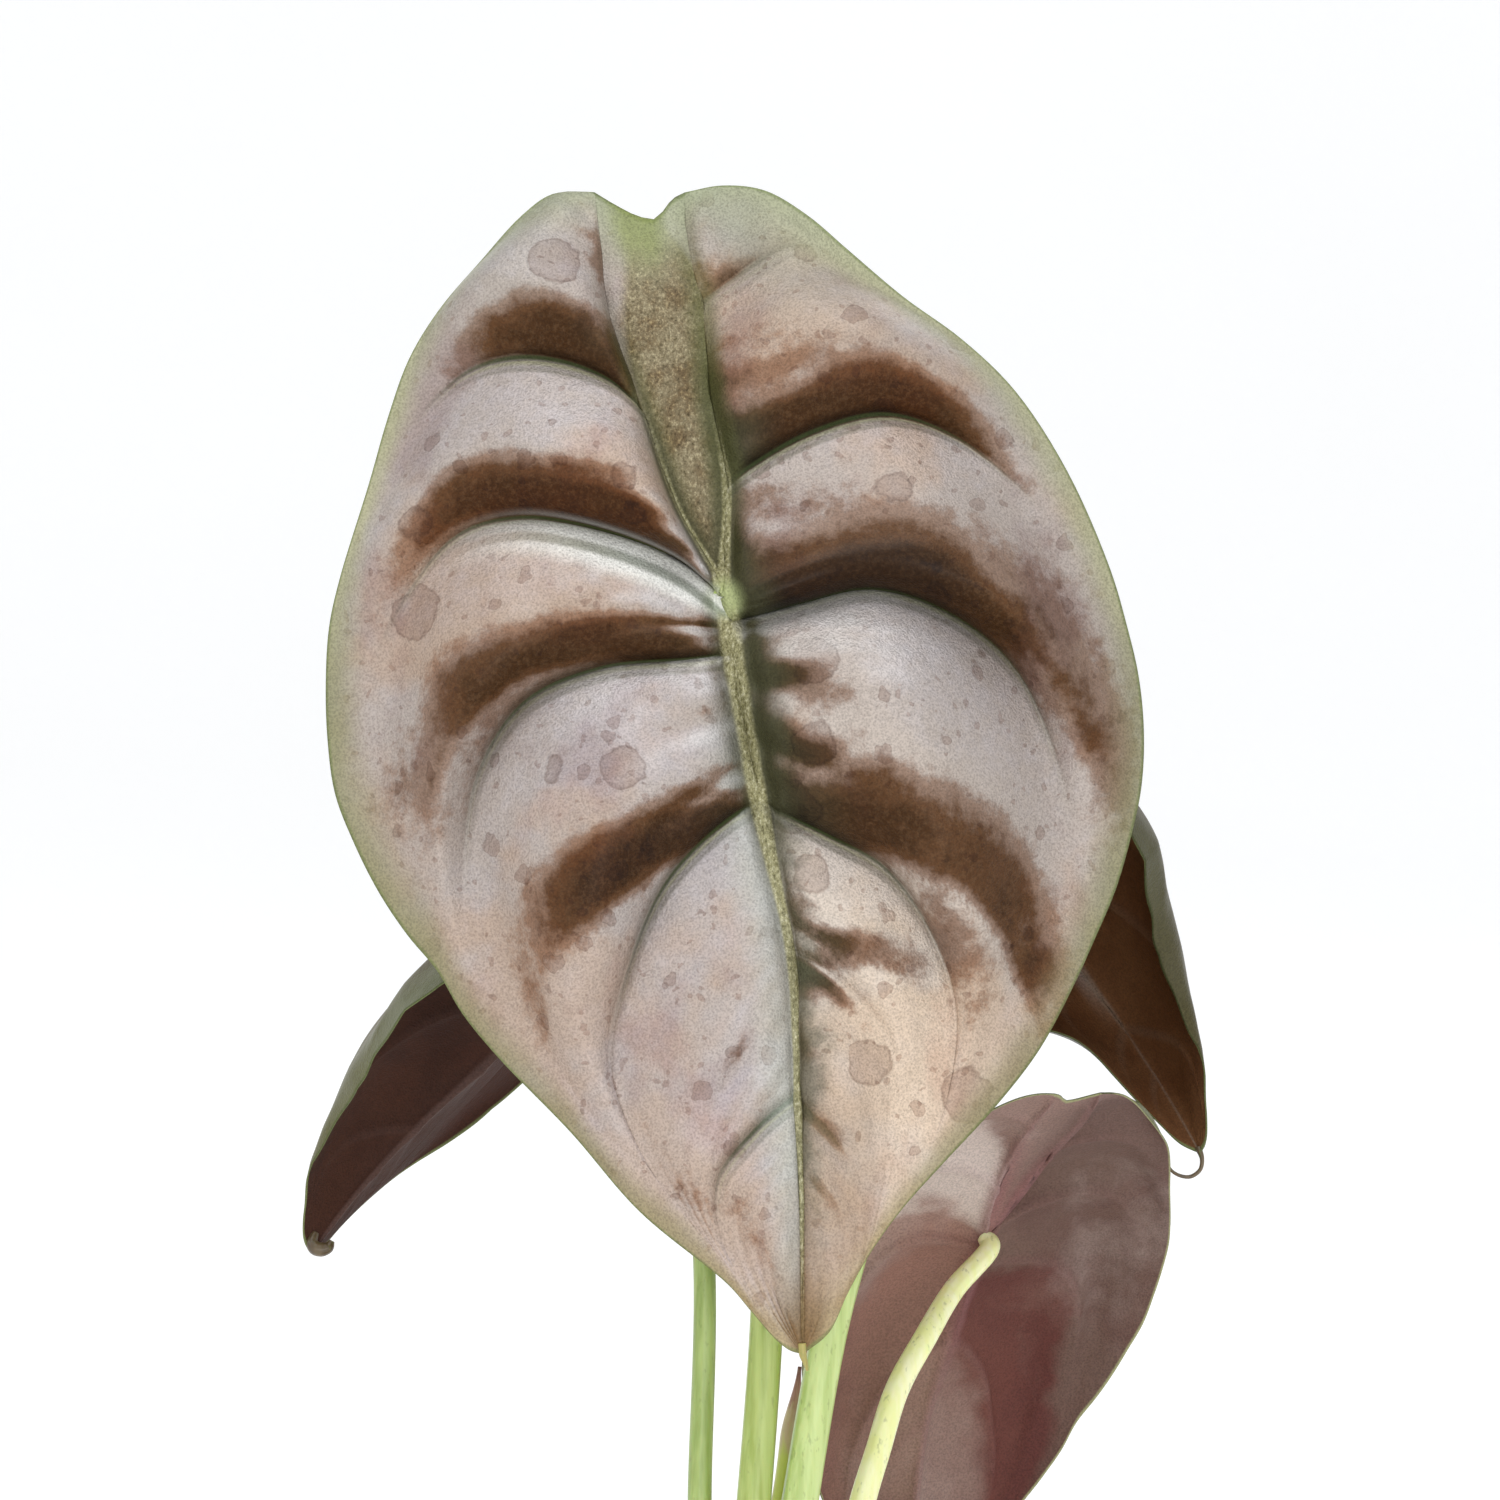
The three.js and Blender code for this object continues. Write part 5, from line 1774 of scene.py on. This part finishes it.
def filled(profile: list, longest: float) -> list:
    """Adds points to a profile so that no step is longer than a length.

    Args:
        profile: Points of the profile.
        longest: The longest step.

    Returns:
        The new profile.
    """
    result = [profile[0]]
    for before, after in zip(profile, profile[1:]):
        count = max(1, math.ceil(math.dist(before, after) / longest))
        result.extend(tuple(np.array(before) + (np.array(after) - before) * (i + 1) / count) for i in range(count))
    return result


@dataclass
class Rootstock:
    """The corky crown with its leaf scars, and six thick roots in the mix."""

    top: float = 116.0
    radius: float = 15.5

    def build(self, shared: Effects, trees: GrowthTrees) -> list:
        """Builds and dresses the crown and the roots.

        Args:
            shared: The shared effects.
            trees: The geometry trees.

        Returns:
            The pieces.
        """
        bark = BarkFinish().build(shared)
        profile = [
            (0, 52), (7, 54), (12, 62), (14.5, 76), (13.5, 90), (self.radius, 104),
            (self.radius, self.top - 3), (self.radius - 1.5, self.top - 0.7), (6, self.top - 0.3), (0, self.top - 0.2),
        ]
        points, faces = lathe(filled(rounded(profile, 1.2), 1.0), 96, 0.35, 4)
        ring = 0.35 * np.sin(points[:, 2] * 1.9 + 0.8 * np.sin(3 * np.arctan2(points[:, 1], points[:, 0])))
        reach = np.hypot(points[:, 0], points[:, 1])
        points[:, :2] *= (1 - np.abs(ring) * ease(5, 12, reach) / np.maximum(reach, 1))[:, None]
        pieces = [hand_over(mesh_object("crown", points, faces, bark), "rootstock", "rootstock")]
        for i, (reach, depth) in enumerate(zip([30, 35, 28, 34, 31, 36], [24, 34, 20, 30, 26, 38])):
            angle = 0.3 + i * math.pi / 3
            bow = angle + 0.35
            spots = [(6, 66, angle), (18, 60, angle), (reach * 0.85, (60 + depth) / 2, bow), (reach, depth, bow)]
            curve = SmoothCurve([[r * math.cos(a), r * math.sin(a), z] for r, z, a in spots])
            share = np.linspace(0, 1, 40)
            radius = (1.6 - 0.9 * share) * (1 + 0.08 * np.sin(share * 60 + i))
            pieces.append(bar_object(f"root_{i + 1}", curve.at(share), radius, bark, trees, "rootstock", "rootstock"))
        return pieces


@dataclass
class Sheath:
    """A dry pointed scale round part of the crown."""

    node: str
    middle: float
    half: float
    height: float
    lean: float
    foot: float = 111.3
    radius: float = 15.92

    def build(self, material: Material) -> Piece:
        """Builds and dresses the scale.

        Args:
            material: Its finish.

        Returns:
            The piece.
        """
        rise, share = np.linspace(0, 1, 60)[:, None], np.linspace(-1, 1, 34)[None]
        spread = self.half * (1 - rise ** 1.6 * 0.8)
        angle = self.middle + spread * share
        wave = 0.22 * np.sin(share * 19 + rise * 3) + 0.25 * soft_noise(angle * 16, rise * self.height, 5, 9)
        radius = self.radius + 0.45 + self.lean * rise ** 2 + wave * rise ** 0.5 * 0.8
        torn = 1.3 * soft_noise(share * 20 + rise * 0, rise * 0 + 3, 1.6, 12) * rise ** 6
        z = self.foot + self.height * rise * (1 - 0.05 * np.cos((share + 1) * 4.2) * rise) - np.maximum(torn, -0.3)
        points = []
        for offset in (0.0, 0.35):
            r = radius + offset
            points.append(np.stack([r * np.cos(angle), r * np.sin(angle), z + 0 * r], -1).reshape(-1, 3))
        rows, columns = radius.shape[0], share.shape[1]
        outer = grid_quads(rows, columns, closed=False)
        count = rows * columns
        rim = [[p, q, q + count, p + count] for p, q in open_edges(outer.tolist())]
        faces = (outer + count).tolist() + outer[:, ::-1].tolist() + rim
        piece = mesh_object(f"{self.node}_scale", np.concatenate(points), faces, material)
        return hand_over(piece, "sheath", self.node)


@dataclass
class PottingMix:
    """The mix in the pot: its body, and bark, crumbs and white grains strewn on top."""

    top: float = 111.0

    def level(self, x: Array, y: Array) -> Array:
        """Height of the surface, as in the solid.

        Args:
            x: Places from left to right.
            y: Places from front to back.

        Returns:
            Heights, in millimetres.
        """
        r = np.hypot(x, y)
        fade = ease(20, 28, r) * (1 - ease(50, 56, r) * 0.7)
        bump = np.sin(x * 0.31 + 1) * np.sin(y * 0.27 + 2) + 0.6 * np.sin(x * 0.11 - y * 0.17)
        return self.top + 1.4 * bump * fade

    def build(self, shared: Effects, trees: GrowthTrees) -> list:
        """Builds and dresses the mix.

        Args:
            shared: The shared effects.
            trees: The geometry trees.

        Returns:
            The pieces.
        """
        gap = 0.4
        inner = lambda z: Pot().inner(z) - gap
        profile = [(0, 6.3), (inner(6) - 3.4, 6.3), (inner(9) - 0.1, 9.2), (inner(109), 109), (inner(111) - 1.2, 110.6)]
        surface = [(r, self.top) for r in np.linspace(inner(111) - 2, 1, 60)]
        points, faces = lathe(filled(profile, 9) + surface + [(0, self.top)], 128)
        above = points[:, 2] > self.top - 0.2
        x, y = points[above, 0], points[above, 1]
        near = ease(14, 18, np.hypot(x, y)) * (1 - ease(53.5, 55, np.hypot(x, y)))
        rough = 0.7 * soft_noise(x, y, 3.2, 21) + 0.5 * soft_noise(x, y, 1.7, 22)
        points[above, 2] = self.level(x, y) + (rough - 0.4) * near
        mix = SoilFinish("potting mix", "1E140E", "4A3627").build(shared)
        pieces = [hand_over(mesh_object("potting_mix", points, faces, mix), "soil", "soil")]
        strewn = [
            (
                "mix_bark", SoilFinish("bark chips", "3B2415", "7B5534", 180.0, 0.5, 0.8), 26000.0, 5, (1.1, 0.5, 0.35),
                (3.4, 1.9, 0.9), 2, 0.0022,
            ),
            (
                "mix_crumbs", SoilFinish("dark crumbs", "1A110B", "3D2C1F", 300.0, 0.4, 0.9), 190000.0, 6,
                (0.35, 0.3, 0.3), (1.1, 0.9, 0.8), 1, 0.0008,
            ),
            (
                "mix_grains", SoilFinish("white grains", "CFCBC2", "F1EFEA", 420.0, 0.3, 0.75), 14000.0, 7,
                (0.5, 0.5, 0.45), (1.6, 1.5, 1.3), 2, 0.0009,
            ),
        ]
        for name, finish, density, seed, smallest, largest, fineness, uneven in strewn:
            piece = self.strewing_ground(name)
            grown(piece, trees.grit, {
                "Density": density, "Seed": seed, "Smallest": tuple(v * MM for v in smallest),
                "Largest": tuple(v * MM for v in largest), "Fineness": fineness, "Uneven": uneven,
                "Material": finish.build(shared),
            })
            pieces.append(hand_over(piece, "soil", "soil"))
        return pieces

    def strewing_ground(self, name: str) -> Piece:
        """A ring of the surface, on which a tree strews its crumbs.

        Args:
            name: The piece's name.

        Returns:
            The ring.
        """
        rings, sides = 30, 72
        radius, angle = np.linspace(17.5, 54, rings), np.linspace(0, 2 * np.pi, sides, endpoint=False)
        x, y = radius[:, None] * np.cos(angle), radius[:, None] * np.sin(angle)
        points = np.stack([x, y, self.level(x, y) + 0.15], -1).reshape(-1, 3)
        return bare_object(name, points, [], grid_quads(rings, sides)[:, [0, 3, 2, 1]].tolist())


@dataclass
class Pot:
    """A plain thrown clay pot with a rim collar and four drain holes."""

    height: float = 125.0
    base: float = 47.0
    body_top: float = 64.0
    rim: float = 70.0
    rim_height: float = 23.0
    wall: float = 5.5

    def outer(self, z: float) -> float:
        """Radius of the wall's outer side at a height."""
        return self.base + (self.body_top - self.base) * z / self.height

    def inner(self, z: float) -> float:
        """Radius of the wall's inner side at a height."""
        return self.outer(z) - self.wall

    def build(self, shared: Effects) -> Piece:
        """Builds and dresses the pot.

        Args:
            shared: The shared effects.

        Returns:
            The piece.
        """
        outer, inner = self.outer, self.inner
        shoulder = self.height - self.rim_height
        profile = [
            (0, 0), (self.base - 2, 0), (self.base, 2), (outer(shoulder), shoulder), (self.rim - 2, shoulder + 1),
            (self.rim - 1, shoulder + 3), (self.rim, self.height - 2), (self.rim - 2, self.height),
            (inner(self.height) + 2, self.height), (inner(self.height), self.height - 2), (inner(9), 9),
            (inner(6) - 3, 6), (0, 6),
        ]
        points, faces = lathe(filled(rounded(profile, 1.6), 3.0), 144)
        reach = np.hypot(points[:, 0], points[:, 1])
        rings = 0.12 * np.sin(points[:, 2] * 1.15) + 0.08 * np.sin(points[:, 2] * 2.9 + 1)
        points[:, :2] *= (1 - np.abs(rings) * ease(40, 46, reach) / np.maximum(reach, 1))[:, None]
        piece = mesh_object("clay_pot", points, faces, ClayFinish().build(shared))
        cutters = [self.cutter(math.pi / 4 + i * math.pi / 2) for i in range(4)]
        for cutter in cutters:
            modifier = piece.modifiers.new("Drain", "BOOLEAN")
            modifier.operation = "DIFFERENCE"
            modifier.solver = "EXACT"
            modifier.object = cutter
        baked(piece)
        for cutter in cutters:
            bpy.data.objects.remove(cutter)
        return hand_over(piece, "pot", "pot")

    @staticmethod
    def cutter(angle: float) -> Piece:
        """A bar that cuts one drain hole.

        Args:
            angle: Where the hole is.

        Returns:
            The bar.
        """
        sides, off, radius = 28, 25, 4
        turn = np.linspace(0, 2 * np.pi, sides, endpoint=False)
        x, y = off * math.cos(angle) + radius * np.cos(turn), off * math.sin(angle) + radius * np.sin(turn)
        points = np.concatenate([np.stack([x, y, 0 * turn + height], -1) for height in (-5, 11)])
        clay = bpy.data.materials[ClayFinish.name]
        return mesh_object("drain_cutter", points, tube_faces(2, sides), clay, smooth=False)


@dataclass
class Studio:
    """Pale floor that curves up behind, soft light from above and the camera of the photograph."""

    target: tuple = (8.4, -53.0, 364.6)
    distance: float = 1300.0
    look_down: float = 6.0
    focal: float = 6500 / 1500 * 36

    def build(self, shared: Effects) -> None:
        """Builds the stage, the lights and the camera.

        Args:
            shared: The shared effects.
        """
        self.floor(shared)
        self.lights()
        self.camera()

    def floor(self, shared: Effects) -> None:
        """The floor and the backdrop in one sweep.

        Args:
            shared: The shared effects.
        """
        bend = [(2600 + 900 * math.sin(a), 900 - 900 * math.cos(a)) for a in np.linspace(0, math.pi / 2, 16)]
        path = [(-4000, 0), (2600, 0), *bend[1:], (3500, 4200)]
        points = [(x, y, z) for y, z in path for x in (-4500, 4500)]
        faces = [[2 * i, 2 * i + 1, 2 * i + 3, 2 * i + 2] for i in range(len(path) - 1)]
        stage = mesh_object("floor", np.array(points, float), faces, StageFinish().build(shared))

    def lights(self) -> None:
        """A wide soft light above, a weaker one from the left, and a bright even sky."""
        for name, place, aim, size, power in (
            ("light_above", (0.0, -0.55, 1.9), (0, 0, 0.35), 1.1, 7.5),
            ("light_left", (-1.8, -1.0, 1.1), (0, 0, 0.35), 0.9, 4.0),
            ("light_front", (0.3, -1.9, 0.3), (0, 0, 0.33), 1.1, 8.0),
            ("light_back", (0.4, 1.5, 1.5), (0, 0, 0.3), 1.0, 5.0),
        ):
            data = bpy.data.lights.new(name, "AREA")
            data.shape, data.size, data.energy = "DISK", size, power
            lamp = bpy.data.objects.new(name, data)
            lamp.location = place
            lamp.rotation_mode = "QUATERNION"
            lamp.rotation_quaternion = (Vector(aim) - Vector(place)).to_track_quat("-Z", "Y")
            bpy.context.collection.objects.link(lamp)
        world = bpy.data.worlds.new("sky")
        bpy.context.scene.world = world
        world.use_nodes = True
        sky = world.node_tree.nodes["Background"]
        sky.inputs["Color"].default_value = (0.97, 0.985, 1.0, 1)
        sky.inputs["Strength"].default_value = 0.82
        bpy.context.scene.view_settings.view_transform = "Standard"

    def camera(self) -> None:
        """The camera of the photograph."""
        data = bpy.data.cameras.new("camera")
        data.sensor_width, data.lens = 36, self.focal
        data.clip_start, data.clip_end = 0.05, 50
        camera = bpy.data.objects.new("camera", data)
        down = math.radians(self.look_down)
        ahead = Vector((0, math.cos(down), -math.sin(down)))
        camera.location = (Vector(self.target) - ahead * self.distance) * MM
        camera.rotation_euler = (math.pi / 2 - down, 0, 0)
        bpy.context.collection.objects.link(camera)
        bpy.context.scene.camera = camera


LEFT_POSE = HangPose(
    at=(-18, 34, 313.2), turn=(3.431, -0.863, -0.711), scale=0.655, wide=1.035, mirror=True,
    fold=(-0.345, -0.819), cross=(1.493, 0.209), lip=(0.802, 0.852), lip_back=(0.115, 0.3),
    flare=(0.024, 0), twist=-0.311, bend=0.583, back=-0.74, tip_curl=0.353, sway=-0.707,
)
RIGHT_POSE = HangPose(
    at=(51.9, 63, 343.4), turn=(3.111, -0.602, 0.761), scale=0.676, wide=1.009,
    fold=(0.182, 0.769), cross=(0.734, 1.09), lip=(1.888, -0.262), lip_back=(0.904, 0.6),
    flare=(0.032, 0.327), twist=-0.084, bend=1.182, back=0.6, tip_curl=0.127, sway=-0.517,
)
LOWER_POSE = HangPose(
    at=(59.5, 42, 248.7), turn=(3.234, -0.573, -0.049), scale=0.68, wide=0.78,
    fold=(-0.296, 0.095), cross=(0.36, 0.546), lip=(0.61, 0.81), lip_back=(0.297, 0.3),
    flare=(0, -0.3), twist=-0.379, bend=0.876, back=0.474, tip_curl=-0.254, sway=0.025,
)


def main() -> None:
    """Builds the plant, the pot and the studio in order."""
    logging.basicConfig(level=logging.INFO, format="%(message)s")
    shared, trees = Effects(), GrowthTrees()
    Studio().build(shared)
    fine, plain = LeafPattern(6, 64), LeafPattern(4, 44)
    # The rear and lower blades hang in the main blade's shade: their upper sides are multiplied darker
    left_rear = BladeFinish("left rear blade", under="3C2117", under_light="4A2C20", rim=60.0, painted_shade="B4BCA2")
    # Painted light: the right rear underside is painted lighter than the left one to make up for its deeper shade, with
    # a painted highlight along its midrib
    right_rear = BladeFinish(
        "right rear blade", under="6E4629", under_light="7E5636", under_rib="A09080", blotch="8A5A40", rim=60.0,
        painted_shade="8C8C74", sheen=0.95,
    )
    lower = BladeFinish(
        "lower blade", under="5E3430", under_light="7B524A", under_rib="8E6864", under_edge="A8A87C",
        rib_share=0.4, vein_share=0.16, blotch="9A7C6E", rim=60.0, painted_shade="A8A888",
        zones=(
            (
                (0, "8A7069"), (0.1, "705850"), (0.3, "70594F"), (0.53, "6E564C"), (0.58, "62352F"), (0.7, "6E4037"),
                (0.78, "957A70"), (0.9, "A48E84"), (1, "9E8C84"),
            ),
            (
                (0, "9A7E74"), (0.2, "9C8278"), (0.3, "AE8C80"), (0.5, "9C7466"), (0.65, "906C5E"), (0.8, "977A6C"),
                (1, "927668"),
            ),
        ),
    )
    for blade in (
        Blade("main_leaf", "main_blade", fine, FacePose(), BladeFinish("main blade")),
        Blade("left_leaf", "left_blade", plain, LEFT_POSE, left_rear, 0.8, 0.8),
        Blade("right_leaf", "right_blade", plain, RIGHT_POSE, right_rear, 0.8, 0.8),
        Blade("lower_leaf", "lower_blade", plain, LOWER_POSE, lower, 0.8, 0.8),
    ):
        blade.build(shared)
    for petiole in (
        Petiole("main_petiole", [
            [1.5, -8.5, 111], [1.8, -8, 122], [7.3, -1, 178.8], [9.5, 1.5, 203], [12, 4, 240],
            [12.8, 3, 300], [9.5, 2, 350], [5, 3.5, 379],
        ], [[0, 4.6], [0.25, 3.7], [0.5, 3.4], [0.9, 3.1], [1, 2.6]], FacePose(),
            StalkFinish("main stalk", "9DB052", "B7C873"), "main_stalk"),
        Petiole("left_petiole", [
            [-8.5, -0.5, 111], [-8.2, -0.3, 122], [-2.6, 4, 177.4], [-2.2, 7, 201.8], [-1.3, 12, 249.2], [-5, 19, 284],
        ], [[0, 4], [0.3, 2.7], [0.6, 2.3], [1, 1.9]], LEFT_POSE,
            StalkFinish("left stalk", "8FA552", "AEC272"), "left_stalk"),
        Petiole("right_petiole", [
            [8.5, -1, 111], [8.8, -0.9, 122], [15.8, 1, 178.4], [19, 2, 199.6], [26.3, 6, 239.6],
            [36, 11, 270], [50, 21, 300], [59, 39, 322],
        ], [[0, 4.8], [0.3, 3.9], [0.55, 3.6], [0.85, 3], [1, 1.5]], RIGHT_POSE,
            StalkFinish("right stalk", "B4CA76", "D0E294"), "right_stalk"),
        Petiole("lower_petiole", [
            [4.3, 8.4, 111], [5.2, 8.6, 122], [18, 10, 155], [27.6, 11, 176], [32.4, 12, 197.4],
            [35.6, 14, 207.6], [39.7, 17, 220.2], [46, 22, 230.8], [52.2, 30.5, 239.3],
        ], [[0, 4.1], [0.4, 2.8], [0.7, 2.5], [1, 2]], LOWER_POSE,
            StalkFinish("lower stalk", "F3F7AC", "FCFDCC"), "lower_stalk", 3.0),
    ):
        petiole.build(shared, trees)
    rolled = StalkFinish("rolled tips", "4C3D28", "66573C").build(shared)
    DripTip("left_tip", "left_blade", (
        (-85.6, 42.4, 249.6), (-86.3, 41.6, 247.6), (-85.6, 41.2, 246.4), (-84.2, 41.2, 246.1), (-82.8, 41.3, 246.6),
        (-82.0, 41.5, 247.9),
    ), (0.7, 1.4, 1.6, 1.6, 1.3, 0.6)).build(rolled, trees)
    DripTip("right_tip", "right_blade", (
        (105.6, 47.4, 267.4), (106.4, 46.5, 265), (106, 46.2, 262.7), (104, 46.1, 261.2), (101.6, 46.1, 261.4),
        (99.7, 46.2, 262.6), (98.7, 46.5, 264.6),
    ), (0.8, 0.5, 0.45, 0.45, 0.4, 0.35, 0.25)).build(rolled, trees)
    tip = FacePose().place(np.array([15.4]), np.array([-151.0]), np.array([0.0]))[0]
    DripTip("main_tip", "main_blade", tuple(tuple(tip + step) for step in (
        (0, 0.1, 1.5), (0.2, 0, -1), (0.7, -0.1, -2.6), (1.1, -0.2, -4.2),
    )), (0.85, 0.8, 0.55, 0.25)).build(StalkFinish("main tip", "9A9048", "B8AC66").build(shared), trees)
    NewLeaf().build(shared)
    Rootstock().build(shared, trees)
    dry = SheathFinish().build(shared)
    Sheath("sheath_front", -2.3, 0.6, 34, -0.6).build(dry)
    Sheath("sheath_back", 2.45, 0.6, 40, -0.3).build(dry)
    PottingMix().build(shared, trees)
    Pot().build(shared)


if __name__ == "__main__":
    main()
